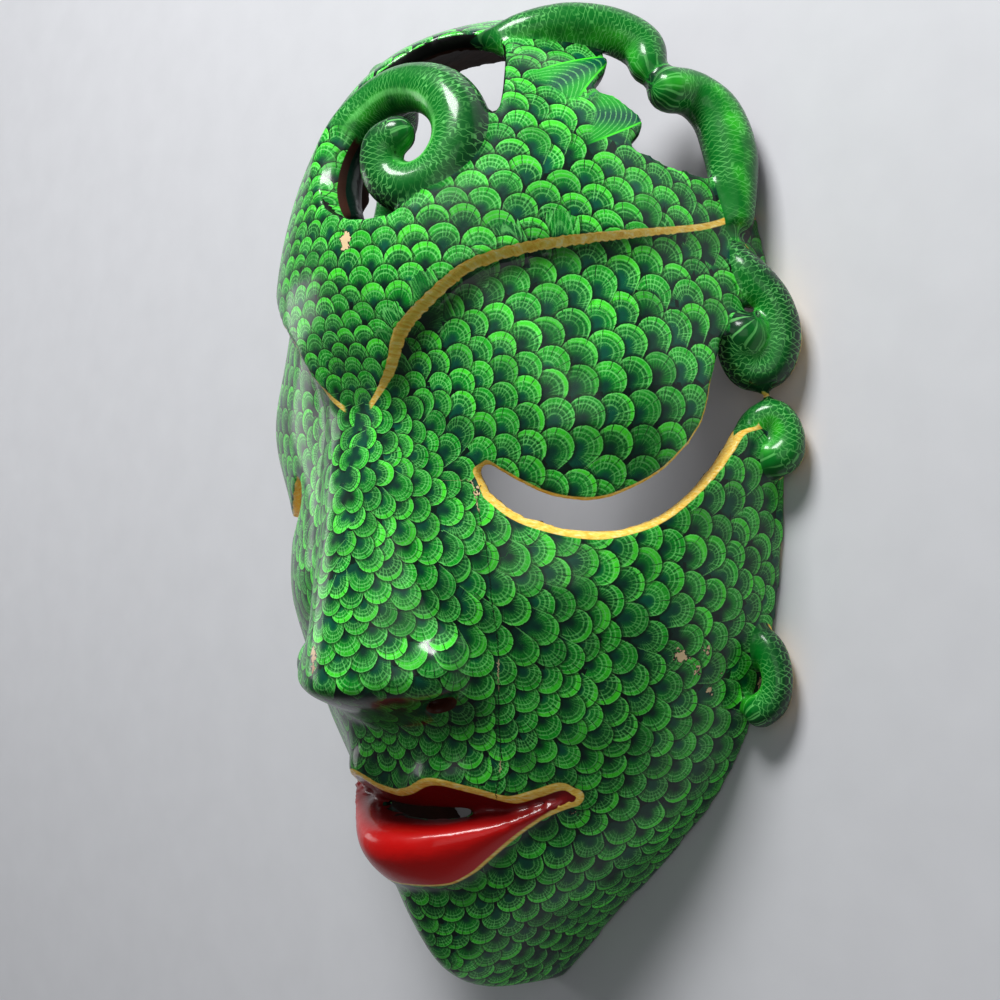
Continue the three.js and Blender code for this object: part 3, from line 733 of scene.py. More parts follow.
brow_mm = (height_of - brow(angle_of)) / MM / np.sqrt(1 + slope_of(brow, angle_of, height_of) ** 2)
lip_mm = distance_to(lip_outline())
slit_mm = distance_to(outlines["slit"])
mouth_mm = (height_of - mouth(angle_of)) / MM
opening_mm = np.minimum(slit_mm, distance_to(outlines["fretwork"]))
for name in ("hole", "gap"):
    opening_mm = np.minimum(opening_mm, distance_to(outlines[name], both_halves=False))
opening_mm = np.minimum(opening_mm, (90 - np.abs(angle_of)) * arc_per_degree(height_of) / MM)
wall_mm = np.where(below_skin, np.minimum(front_mm - EDGE_DEPTH, WALL_REACH - opening_mm), -1)
on_arm = (scroll_mm < ARM_SKIN) & (roll[:, 2] == 0) & (roll_height > ARM_SIDE)
wall_mm = np.where(on_arm, -1, wall_mm)
from_nostril = place * (np.sign(place[:, :1]) * (1, 0, 0) + (0, 1, 1)) - np.array(NOSTRIL["place"]) * MM
from_nostril = np.linalg.norm(from_nostril / (np.array(NOSTRIL["radii"]) * MM), axis=1)
wall_mm = np.maximum(wall_mm, np.where(below_skin, (NOSTRIL_RIM - from_nostril) * 7, -1))
arc_mm = flat_mm(angle_of, height_of)[:, 0]
print("gold brow", int((np.abs(brow_mm) < 1).sum()), "lips", int((lip_mm < 0).sum()))

# %% [markdown]
# Age shows too. Wood has dried and opened one long crack beside the nose, and knocks have
# chipped the paint down to pale wood. The two carved leaves at the crown carry nested arcs
# instead of scales. All of these are distances from a few marked places.

# %% Crack, chips and leaves
CRACK = [(26.8, -0.026), (29.8, -0.171), (29.9, -0.313), (27.3, -0.459), (27.4, -0.61)]
CHIPS = [(66, -0.334, 3.2), (71.9, -0.325, 2.4), (69.8, -0.361, 2.6), (73.8, -0.398, 2.2), (68, -0.35, 1.6),
         (4.5, 0.415, 3.6), (4.5, 0.428, 3.0), (46.7, -0.629, 1.6), (-3.1, -0.348, 3.2), (-2.6, -0.37, 2.4),
         (90, -0.391, 4.0), (27.8, -0.048, 1.8), (76, -0.37, 1.3), (64, -0.345, 1.4)]
LEAVES = [(50.5, 0.745, 63.0, 0.822), (58.5, 0.668, 67.0, 0.678)]
crack_angle, crack_share = np.array(CRACK).T
crack_at = np.interp(-height_of / HALF, -crack_share, crack_angle)
crack_mm = (angle_of - crack_at) * arc_per_degree(height_of) / MM
beyond = np.maximum(height_of / HALF - crack_share[0], crack_share[-1] - height_of / HALF) * HALF / MM
crack_mm = np.where(beyond > 0, np.hypot(crack_mm, beyond) + 1, crack_mm)
spot_flat = flat_mm(angle_of, height_of)
chip_mm = np.full(len(place), 99.0)
for a, h, size in CHIPS:
    centre = flat_mm(np.array(float(a)), np.array(h * HALF))
    chip_mm = np.minimum(chip_mm, np.linalg.norm(spot_flat - centre, axis=1) - size)
leaf = np.full((len(place), 3), 9.0)
for foot_a, foot_h, tip_a, tip_h in LEAVES:
    foot = flat_mm(np.array(foot_a), np.array(foot_h * HALF))
    tip_at = flat_mm(np.array(tip_a), np.array(tip_h * HALF))
    axis = (tip_at - foot) / np.linalg.norm(tip_at - foot)
    arm = flat_mm(np.abs(angle_of), height_of) - foot
    ahead = arm @ axis / np.linalg.norm(tip_at - foot)
    across = (arm @ (-axis[1], axis[0])) / 11.5
    closer = np.hypot(across, ahead - 0.5) < np.hypot(leaf[:, 0], leaf[:, 1] - 0.5)
    leaf[closer] = np.stack([across, ahead, 0 * ahead], 1)[closer]
on_leaf = np.hypot(leaf[:, 0], leaf[:, 1] - 0.5) < 0.5
print("chipped", int((chip_mm < 0).sum()), "on leaves", int(on_leaf.sum()))

# %% [markdown]
# Scales are painted by hand, row after row, from the bridge of the nose outwards, each tip over
# the foot of the next. A grid would look printed, so the rows are grown instead: each scale
# sets two more ahead of it, left and right, wherever there is room. The way ahead comes from a
# few guide strokes, drawn as the rows run on the mask.

# %% Growing the scales
GUIDES = [  # angle, share of the half length, heading in degrees, width of a scale in mm
    (0, 0.2, 90, 11), (8, 0.3, 88, 12.5), (25, 0.45, 80, 14.5), (30, 0.65, 84, 14.5),
    (50, 0.65, 70, 14.5), (60, 0.5, 62, 14.5), (80, 0.55, 55, 13), (10, 0.5, 90, 12.5),
    (0, 0.8, 90, 13), (30, 0.9, 88, 14),
    (15, 0.15, 48, 11), (22, 0.25, 62, 13), (30, 0.1, 50, 13), (45, 0.25, 62, 15.5),
    (45, 0.05, 42, 15), (60, 0.1, 48, 15), (62, 0.32, 62, 15), (75, 0.3, 60, 14),
    (4, 0.05, -15, 9.5), (12, 0.05, 5, 10.5), (20, -0.02, 8, 11), (10, -0.1, -45, 10.5),
    (4, -0.25, -75, 10.5), (14, -0.25, -48, 12), (22, -0.15, -28, 12.5), (18, -0.38, -62, 14),
    (6, -0.38, -85, 13), (34, -0.2, -28, 13.5), (45, -0.25, -14, 14.2), (55, -0.2, 8, 14.2),
    (65, -0.15, 30, 14), (76, -0.06, 42, 13.2), (85, -0.15, 20, 12.5), (70, -0.35, 2, 13.5),
    (85, -0.4, -12, 12.5), (55, -0.42, -32, 13.8), (38, -0.42, -48, 13.5), (28, -0.52, -68, 12),
    (12, -0.55, -86, 11.5), (45, -0.56, -50, 13), (62, -0.6, -45, 13.5), (80, -0.65, -38, 12),
    (50, -0.75, -60, 12.5), (30, -0.85, -75, 12), (10, -0.85, -88, 11.5), (70, -0.9, -58, 11),
]
guide_angle, guide_share, guide_heading, guide_width = np.array(GUIDES, float).T
guide_place = flat_mm(guide_angle, guide_share * HALF)
guide_zone = np.where(guide_share * HALF > brow(guide_angle), 1, np.where(
    (guide_share * HALF > lid_edge(guide_angle)) & (guide_angle > 10), 2, 0))
TILE = 0.62  # how far a row steps ahead, as a share of the width
ROOM = 0.9216  # how much of a step two scales keep between their middles
NEXT_SCALES = ((-0.5, TILE), (0.5, TILE), (-1, 0), (1, 0), (0, 2 * TILE), (-0.5, -TILE), (0.5, -TILE))
CHANCE = np.random.default_rng(7)
CELL = 8 * MM
SEEDS = [(2, 0.13), (2, 0.02), (2, -0.06), (2, -0.14), (2, -0.22), (2, -0.3), (3, -0.44), (14, 0.06),
         (22, 0.03), (29, 0.02), (3, -0.8), (12, -0.8), (3, 0.93)]  # angle and share, first scales


def zone_at(angle, height):
    """1 is the forehead, 2 the lids, 0 the rest."""
    if height > brow(angle):
        return 1
    return 2 if abs(angle) > 10 and height > lid_edge(max(abs(angle), 30)) - 2 * MM and (
        abs(angle) > 27 or height > 0) else 0


def heading_at(angle, height):
    """Direction of the rows and width of a scale, from the nearest guide strokes."""
    spot = flat_mm(np.array(abs(angle)), np.array(height))
    far = np.linalg.norm(guide_place - spot, axis=1)
    zone = zone_at(angle, height)
    alike = np.where(guide_zone == zone, 1.0, 0.02 if zone else 0.25)
    weight = alike / (far**3 + 40)
    turn = np.radians(guide_heading)
    dx, dy = (weight * np.cos(turn)).sum(), (weight * np.sin(turn)).sum()
    wide = (weight * guide_width).sum() / weight.sum()
    size = math.hypot(dx, dy)
    return (math.copysign(1, angle) * dx / size, dy / size), wide * MM


def grow_scales():
    """Scales as (order, angle, height, heading, width, place)."""
    seeds = [(s * a, h * HALF) for a, h in SEEDS for s in (1, -1)]
    queue = [(0.0, k, a, h) for k, (a, h) in enumerate(seeds)]
    heapq.heapify(queue)
    kept, count = [], len(seeds)
    cells = {}
    while queue:
        order, _, angle, height = heapq.heappop(queue)
        if abs(angle) > 93 or not CHIN + 1 * MM < height < CROWN - 1 * MM:
            continue
        spot = front_point(np.array([np.clip(angle, -92, 92)]), np.array([height]))[0]
        (dx, dy), wide = heading_at(angle, height)
        cell = tuple((spot // CELL).astype(int))
        room = True
        for shift in np.ndindex(5, 5, 5):
            for other, other_wide in cells.get(tuple(np.array(cell) + shift - 2), ()):
                if np.linalg.norm(other - spot) < ROOM * TILE * (wide + other_wide) / 2:
                    room = False
        if not room:
            continue
        cells.setdefault(cell, []).append((spot, wide))
        kept.append((order, angle, height, (dx, dy), wide, spot))
        per_degree = float(arc_per_degree(height))
        near = front_point(np.array([angle, angle + 1, angle]), np.array([height, height, height + 1 * MM]))
        stretch_x = np.linalg.norm(near[1] - near[0]) / per_degree
        stretch_y = np.linalg.norm(near[2] - near[0]) / MM
        for side, ahead in NEXT_SCALES:
            jitter = CHANCE.uniform(-0.05, 0.05, 2)
            go_x = (dx * (ahead + jitter[0]) - dy * (side + jitter[1])) * wide / max(stretch_x, 0.7)
            go_y = (dy * (ahead + jitter[0]) + dx * (side + jitter[1])) * wide / max(stretch_y, 0.7)
            count += 1
            gone = ahead * wide if ahead else 0.35 * wide
            heapq.heappush(queue, (order + abs(gone) / MM + (4 if ahead < 0 else 0), count,
                                   angle + go_x / per_degree, height + go_y))
    return kept


scales = grow_scales()
print("scales", len(scales))

# %% [markdown]
# Which scale lies on top follows from the rows as well: of two that overlap, the one further
# back lies over the other. Each face of the mesh remembers the three uppermost scales over it,
# with its own place on each of them, and the paint then only has to test three shapes.

# %% Laying the scales over the mesh
NEIGHBOURS = 22 * MM  # scales nearer than this are set in order
ROUNDS = 200  # small corrections until the order holds all over
LAYERS = 3
RADIUS = 0.53  # of a scale, as a share of its width
SHADOW_REACH = 1.2  # how far its shadow falls, in its radii
FOOT = 1.25  # how far a scale reaches back under the others, in its radii


def read(items, field, width=1):
    """All values of one field of the mesh, as an array."""
    kind = int if field in ("vertex_index", "loop_start", "loop_total") else float
    values = np.zeros(len(items) * width, kind)
    items.foreach_get(field, values)
    return values if width == 1 else values.reshape(-1, width)


def stacking(scales):
    """Height of each scale in the stack, so that a scale lies over those ahead of it."""
    spots = np.array([s[5] for s in scales])
    plan_spots = np.array([flat_mm(np.array(s[1]), np.array(s[2])) for s in scales])
    tree = KDTree(len(scales))
    for i, p in enumerate(spots):
        tree.insert(Vector(p), i)
    tree.balance()
    level = np.array([s[0] for s in scales], float)
    pairs = []
    for i, p in enumerate(spots):
        for _, j, _ in tree.find_range(Vector(p), NEIGHBOURS):
            if j > i:
                between = plan_spots[j] - plan_spots[i]
                ahead = (np.array(scales[i][3]) + np.array(scales[j][3])) / 2
                pairs.append((i, j, float(between @ ahead)))
    first, second, rise = np.array(pairs).T
    first, second = first.astype(int), second.astype(int)
    many = np.bincount(np.r_[first, second], minlength=len(level))
    for _ in range(ROUNDS):
        miss = rise - (level[second] - level[first])
        move = np.bincount(second, miss, len(level)) - np.bincount(first, miss, len(level))
        level += 0.5 * move / many
    return level


level = stacking(scales)
corner_vert = read(mesh.loops, "vertex_index")
face_start, face_size = read(mesh.polygons, "loop_start"), read(mesh.polygons, "loop_total")
face_middle, face_normal = read(mesh.polygons, "center", 3), read(mesh.polygons, "normal", 3)
layer_data = np.zeros((LAYERS, len(mesh.loops), 3), np.float32)
layer_data[:, :, 0] = 9
filled = np.zeros(len(mesh.polygons), int)
face_tree = KDTree(len(mesh.polygons))
for i, p in enumerate(face_middle):
    face_tree.insert(Vector(p), i)
face_tree.balance()
for i in np.argsort(level):
    _, angle, height, (dx, dy), wide, spot = scales[i]
    near = front_point(np.array([angle - 1, angle + 1, angle, angle]),
                       np.array([height, height, height - 1 * MM, height + 1 * MM]))
    right, up = near[1] - near[0], near[3] - near[2]
    right, up = right / np.linalg.norm(right), up / np.linalg.norm(up)
    out = np.cross(right, up)
    out /= np.linalg.norm(out)
    ahead = right * dx + up * dy
    ahead /= np.linalg.norm(ahead)
    across = np.cross(ahead, out)
    radius = wide * RADIUS
    found = np.array([n for _, n, _ in face_tree.find_range(Vector(spot), radius * (FOOT + 0.3))], int)
    if not len(found):
        continue
    found = found[(filled[found] < LAYERS) & ((face_normal[found] @ out) > 0.1)]
    corners = face_start[found, None] + np.arange(4)[None]
    corners = np.where(np.arange(4)[None] < face_size[found, None], corners, face_start[found, None])
    arm = place[corner_vert[corners]] - spot
    u, v = arm @ across / radius, arm @ ahead / radius
    shape = np.where(v > 0, np.hypot(u, v), np.maximum(np.abs(u), -v / FOOT))
    touches = shape.min(1) < SHADOW_REACH
    found, corners, u, v = found[touches], corners[touches], u[touches], v[touches]
    seed = CHANCE.uniform(0.02, 0.98)
    slot = filled[found]
    for c in range(4):
        layer_data[slot, corners[:, c]] = np.stack([u[:, c], v[:, c], np.full(len(found), seed)], 1)
    filled[found] += 1
print("faces under scales", int((filled > 0).sum()), "of", len(filled))

# %% [markdown]
# What was measured now goes onto the mesh, so that the paint can read it by name. Numbers that
# belong together share one attribute of three. A scale's place is kept on each corner of a face,
# because two faces side by side may lie under different scales.

# %% Attributes for the paint
def keep(name, values, domain="POINT"):
    kind = "FLOAT_VECTOR" if np.ndim(values) == 2 else "FLOAT"
    layer = mesh.attributes.new(name, kind, domain)
    field = "vector" if kind == "FLOAT_VECTOR" else "value"
    layer.data.foreach_set(field, np.asarray(values, np.float32).ravel())


for k in range(LAYERS):
    keep(f"scale_{k + 1}", layer_data[k], "CORNER")
keep("depths", np.stack([front_mm, hollow_mm, scroll_mm], 1))
keep("lines", np.stack([brow_mm, lip_mm, slit_mm], 1))
keep("flat", np.stack([arc_mm, height_of / MM, angle_of], 1))
keep("roll", roll)
keep("roll_height", roll_height)
keep("mouth_mm", mouth_mm)
keep("leaf", leaf)
keep("wear", np.stack([crack_mm, chip_mm, wall_mm], 1))
place[:, 1] += MIDDLE
mesh.vertices.foreach_set("co", place.astype(np.float32).ravel())
mesh.shade_smooth()
mesh.update()
print("attributes", [a.name for a in mesh.attributes if not a.name.startswith(".")])

# %% [markdown]
# Paint is written as sums. One small class wraps a socket, so that an expression on values adds
# its Math nodes, and any other node comes from one method.

# %% Shader maths
class Wire:
    """A value in the material: an output socket with arithmetic."""

    def __init__(self, tree, socket):
        self.tree, self.socket = tree, socket

    def of(self, operation, *values):
        """A Math node over values, in the order given."""
        node = self.tree.nodes.new("ShaderNodeMath")
        node.operation = operation
        for slot, value in zip(node.inputs, values):
            put(self.tree, slot, value)
        return Wire(self.tree, node.outputs[0])

    def math(self, operation, *others):
        return self.of(operation, self, *others)

    def __add__(self, other):
        return self.math("ADD", other)

    def __radd__(self, other):
        return self.math("ADD", other)

    def __sub__(self, other):
        return self.math("SUBTRACT", other)

    def __rsub__(self, other):
        return self.of("SUBTRACT", other, self)

    def __mul__(self, other):
        return self.math("MULTIPLY", other)

    def __rmul__(self, other):
        return self.math("MULTIPLY", other)

    def __truediv__(self, other):
        return self.math("DIVIDE", other)

    def __rtruediv__(self, other):
        return self.of("DIVIDE", other, self)

    def __pow__(self, other):
        return self.math("POWER", other)

    def __rpow__(self, other):
        return self.of("POWER", other, self)

    def most(self, other):
        return self.math("MAXIMUM", other)

    def size(self):
        return self.math("ABSOLUTE")

    def loop(self):
        return self.math("FRACT")

    def ramp(self, low, high):
        """0 below low, 1 above high, smooth between; falls where low is above high."""
        node = self.tree.nodes.new("ShaderNodeMapRange")
        node.interpolation_type, node.clamp = "SMOOTHSTEP", True
        falls = low > high
        put(self.tree, node.inputs["Value"], self)
        put(self.tree, node.inputs["From Min"], min(low, high))
        put(self.tree, node.inputs["From Max"], max(low, high))
        put(self.tree, node.inputs["To Min"], 1.0 if falls else 0.0)
        put(self.tree, node.inputs["To Max"], 0.0 if falls else 1.0)
        return Wire(self.tree, node.outputs[0])


def put(tree, slot, value):
    if isinstance(value, Wire):
        tree.links.new(value.socket, slot)
    else:
        slot.default_value = value


class Finish:
    """A material whose nodes are made one call at a time."""

    def __init__(self, name):
        self.material = bpy.data.materials.new(name)
        self.material.use_nodes = True
        self.tree = self.material.node_tree
        self.shader = self.tree.nodes["Principled BSDF"]

    def node(self, kind, settings=None, sockets=None, out=0):
        """Any node: its settings first, then its sockets, by name or number."""
        node = self.tree.nodes.new(kind)
        for key, value in (settings or {}).items():
            setattr(node, key, value)
        for key, value in (sockets or {}).items():
            put(self.tree, node.inputs[key], value)
        return Wire(self.tree, node.outputs[out])

    def attribute(self, name):
        return self.node("ShaderNodeAttribute", {"attribute_name": name}, out="Vector")

    def number(self, name):
        return self.node("ShaderNodeAttribute", {"attribute_name": name}, out="Fac")

    def parts(self, vector):
        split = self.tree.nodes.new("ShaderNodeSeparateXYZ")
        put(self.tree, split.inputs[0], vector)
        return [Wire(self.tree, s) for s in split.outputs]

    def vector(self, x, y, z):
        return self.node("ShaderNodeCombineXYZ", None, {0: x, 1: y, 2: z})

    def mix(self, share, under, over):
        """Colour over colour."""
        return self.node("ShaderNodeMix", {"data_type": "RGBA"}, {0: share, 6: under, 7: over}, out=2)

    def noise(self, vector, scale, detail=2.0, rough=0.5):
        settings = {"noise_dimensions": "3D"}
        sockets = {"Vector": vector, "Scale": scale, "Detail": detail, "Roughness": rough}
        return self.node("ShaderNodeTexNoise", settings, sockets)

    def chance(self, seed):
        """Three random numbers from one."""
        settings = {"noise_dimensions": "1D"}
        return self.parts(self.node("ShaderNodeTexWhiteNoise", settings, {"W": seed}, out="Color"))


def rgb(red, green, blue):
    """A colour as the eye reads it, 0 to 255, made linear."""
    shares = [c / 255 for c in (red, green, blue)]
    linear = [c / 12.92 if c <= 0.04045 else ((c + 0.055) / 1.055) ** 2.4 for c in shares]
    return (*linear, 1.0)


print("orange as linear", [round(c, 3) for c in rgb(255, 128, 0)])

# %% [markdown]
# A painted scale has a dark blue-green foot, a mid green middle and a bright rim. Wax lines keep
# two or three pale arcs and a fan of fine pale rays, and old varnish leaves a few black cracks
# across the rim. Each scale gets its own chance numbers, so that no two are alike, and it
# shades the scales under it.

# %% A scale
DEEP = rgb(0, 40, 28)
TEAL = rgb(0, 82, 60)
GREEN = rgb(0, 116, 30)
LEAF = rgb(6, 162, 30)
LIME = rgb(72, 236, 44)
PALE = rgb(132, 240, 128)
BLACK = rgb(1, 10, 5)


def scale_paint(f, name, grain):
    """Cover, shadow and colour of one layer of scales."""
    u, v, seed = f.parts(f.attribute(name))
    c1, c2, c3 = f.chance(seed)
    c4, c5, c6 = f.chance(seed + 7.3)
    ahead = v.most(0.0)
    wobble = (grain - 0.5) * 0.09
    edge = (u * u + ahead * ahead).math("SQRT") + wobble
    foot = v.ramp(-FOOT - 0.05, -FOOT + 0.05)
    cover = edge.ramp(1.0, 0.975) * foot
    shadow = edge.ramp(1.24, 0.97) * v.ramp(-0.45, 0.1)
    cu = u - (c1 - 0.5) * 0.34
    cv = v + 0.3 + (c2 - 0.5) * 0.14
    before = cv.most(0.0)
    inner = (cu * cu + before * before).math("SQRT") / 1.26 + wobble * 0.5
    turn = cu.math("ARCTAN2", cv + 0.45)
    fan = turn * (4.6 + c3 * 1.8) + (grain - 0.5) * 0.8 + c1 * 5
    ray = (fan.loop() - 0.5).size()
    drawn_ray, start_ray, _ = f.chance(fan.math("FLOOR") + seed * 53)
    band = (inner - start_ray * 0.3).ramp(0.1, 0.3) * inner.ramp(1.02, 0.85)
    rays = ray.ramp(0.17, 0.05) * band * drawn_ray.ramp(0.1, 0.6)
    gaps = ray.ramp(0.3, 0.42) * band
    arcs = None
    for where, strength in ((0.38, c5 * 0.8), (0.6, 0.6 + c6 * 0.5), (0.8, 0.9)):
        line = (inner - (c4 - 0.5) * 0.12 - where).size().ramp(0.045, 0.018) * strength
        arcs = line.most(arcs) if arcs else line
    arcs = arcs * grain.ramp(0.3, 0.5)
    open_end = cv.ramp(-0.55, 0.1)
    lit = open_end * inner.ramp(0.05, 0.6)
    body = f.mix(lit, f.mix(c5, DEEP, TEAL), f.mix(c6.ramp(0.2, 0.9), GREEN, LEAF))
    body = f.mix(gaps * 0.5, body, DEEP)
    rim = (inner + (c1 - 0.5) * 0.16).ramp(0.7, 0.8) * open_end
    body = f.mix(rim, body, f.mix(c3.ramp(0.2, 0.95), LIME, LEAF))
    body = f.mix(rays * open_end * (0.35 + c5 * 0.4), body, PALE)
    body = f.mix(arcs * open_end * 0.65, body, PALE)
    body = f.mix(edge.ramp(0.88, 0.93) * edge.ramp(0.975, 0.945) * 0.5, body, PALE)
    crack_fan = turn * 3.0 + c2 * 9
    crack = (crack_fan.loop() - 0.5 + (grain - 0.5) * 0.2).size().ramp(0.075, 0.035)
    broken, crack_start, _ = f.chance(crack_fan.math("FLOOR") + seed * 31)
    crack = crack * broken.ramp(0.3, 0.4) * (inner - crack_start * 0.3).ramp(0.45, 0.5)
    body = f.mix(crack * 0.9, body, BLACK)
    body = f.mix(c4.ramp(0.4, 1.0) * 0.4, body, DEEP)
    body = f.mix(edge.ramp(0.95, 0.985), body, BLACK)
    return cover, shadow, body


print("greens of a scale", [[round(c, 3) for c in tone[:3]] for tone in (DEEP, TEAL, GREEN, LEAF, LIME)])

# %% [markdown]
# Rolls carry a net: two families of fine pale lines that cross as they wind round. Their foot,
# which no light reaches, is left black on the crown and gilded on the side curls. Light is
# painted in as well: each roll is darker below and lighter along its top, with a faint lime
# sheen and, on the forehead roll, a pale painted highlight along it.

# %% A roll
GOLD = rgb(255, 216, 98)
GOLD_DARK = rgb(238, 178, 58)
GOLD_PALE = rgb(255, 244, 186)
ROLL_SHADED = rgb(0, 42, 22)
ROLL_GREEN = rgb(2, 112, 30)


def roll_paint(f, wide_grain):
    along, turn, kind = f.parts(f.attribute("roll"))
    wave = (wide_grain - 0.5) * 1.1
    one = ((along * 0.42 + turn * 9.0 + wave).loop() - 0.5).size().ramp(0.11, 0.04)
    two = ((along * 0.36 - turn * 10.0 - wave).loop() - 0.5).size().ramp(0.1, 0.04)
    net = one.most(two * 0.7) * wide_grain.ramp(0.28, 0.62)
    # painted light and shade: lighter along the top of the roll, darker below
    lit = (turn - 0.1).size().ramp(0.34, 0.05)
    body = f.mix(lit, ROLL_SHADED, ROLL_GREEN)
    # painted sheen: a faint lime band just off the top of the roll
    body = f.mix((turn - 0.16).size().ramp(0.1, 0.02) * wide_grain.ramp(0.35, 0.65) * 0.4, body, LIME)
    body = f.mix(net * 0.5, body, PALE)
    # painted highlight: a pale line along the top of the forehead roll
    ridge_highlight = (turn - 0.12).size().ramp(0.03, 0.008) * wide_grain.ramp(0.3, 0.6) * kind.ramp(0.6, 0.4)
    return f.mix(ridge_highlight * 0.5, body, PALE)


print("rolls are", *KINDS)

# %% [markdown]
# Each leaf is painted with arcs nested in its point, pale on a shaded green, and a lime border.

# %% A leaf
def leaf_paint(f, grain):
    across, ahead, _ = f.parts(f.attribute("leaf"))
    side = across.size()
    width = (1.02 - ahead).most(0.0) ** 0.75
    inside = (side - width).ramp(0.04, 0.0) * ahead.ramp(-0.5, -0.2)
    nest = (ahead * 7.4 + side * side * 3.2 + (grain - 0.5) * 0.5).loop() - 0.5
    lines = nest.size().ramp(0.15, 0.05) * (side - width).ramp(-0.08, -0.14)
    body = f.mix(side.ramp(0.05, 0.7), TEAL, LEAF)
    body = f.mix((side - width).ramp(-0.1, -0.05) * ahead.ramp(-0.4, 0.2), body, LIME)
    body = f.mix(lines * 0.5 * grain.ramp(0.3, 0.5), body, PALE)
    return inside, body


print("leaves", 2 * len(LEAVES))

# %% [markdown]
# All of it comes together in one finish, because it is one piece of wood. Each place starts
# with its own colour and is laid over the rest by the distances kept on the mesh: scales on the
# front, the net on the rolls, gold on the lines, red on the lips, black in the pierced walls.
# Darker green is laid under the brow, below the nose and beside the lips: partly the painter's own
# shading, partly painted shade where these folds lie in shadow.

# %% The whole finish
RED = rgb(196, 4, 2)
MAROON = rgb(110, 6, 8)
WALL_BLACK = rgb(9, 11, 8)
STAIN = rgb(58, 26, 12)
CREAM = rgb(232, 204, 158)
COPPER = rgb(150, 92, 60)
# FOLD_SHADE is the painted shade in the folds, partly the painter's own shading
FOLD_SHADE, SCALE_SHADE = 0.62, 0.78  # how dark the folds are, and what lies under a scale's tip
BROW_GOLD, SLIT_GOLD, LIP_GOLD = 1.9, 1.3, 2.8  # widths of the gold lines, mm


def scale_coat(f, grain, wide_grain):
    """All layers of scales, the lowest first, with a little change of tone over the face."""
    colour = f.mix(0.5, BLACK, DEEP)
    for k in range(LAYERS, 0, -1):
        cover, shadow, body = scale_paint(f, f"scale_{k}", grain)
        colour = f.mix(shadow * SCALE_SHADE, colour, BLACK)
        colour = f.mix(cover, colour, body)
    shade = 0.55 + wide_grain * 0.9
    toned = {0: 1.0, 6: colour, 7: f.vector(shade, shade, shade)}
    return f.node("ShaderNodeMix", {"data_type": "RGBA", "blend_type": "MULTIPLY"}, toned, out=2)


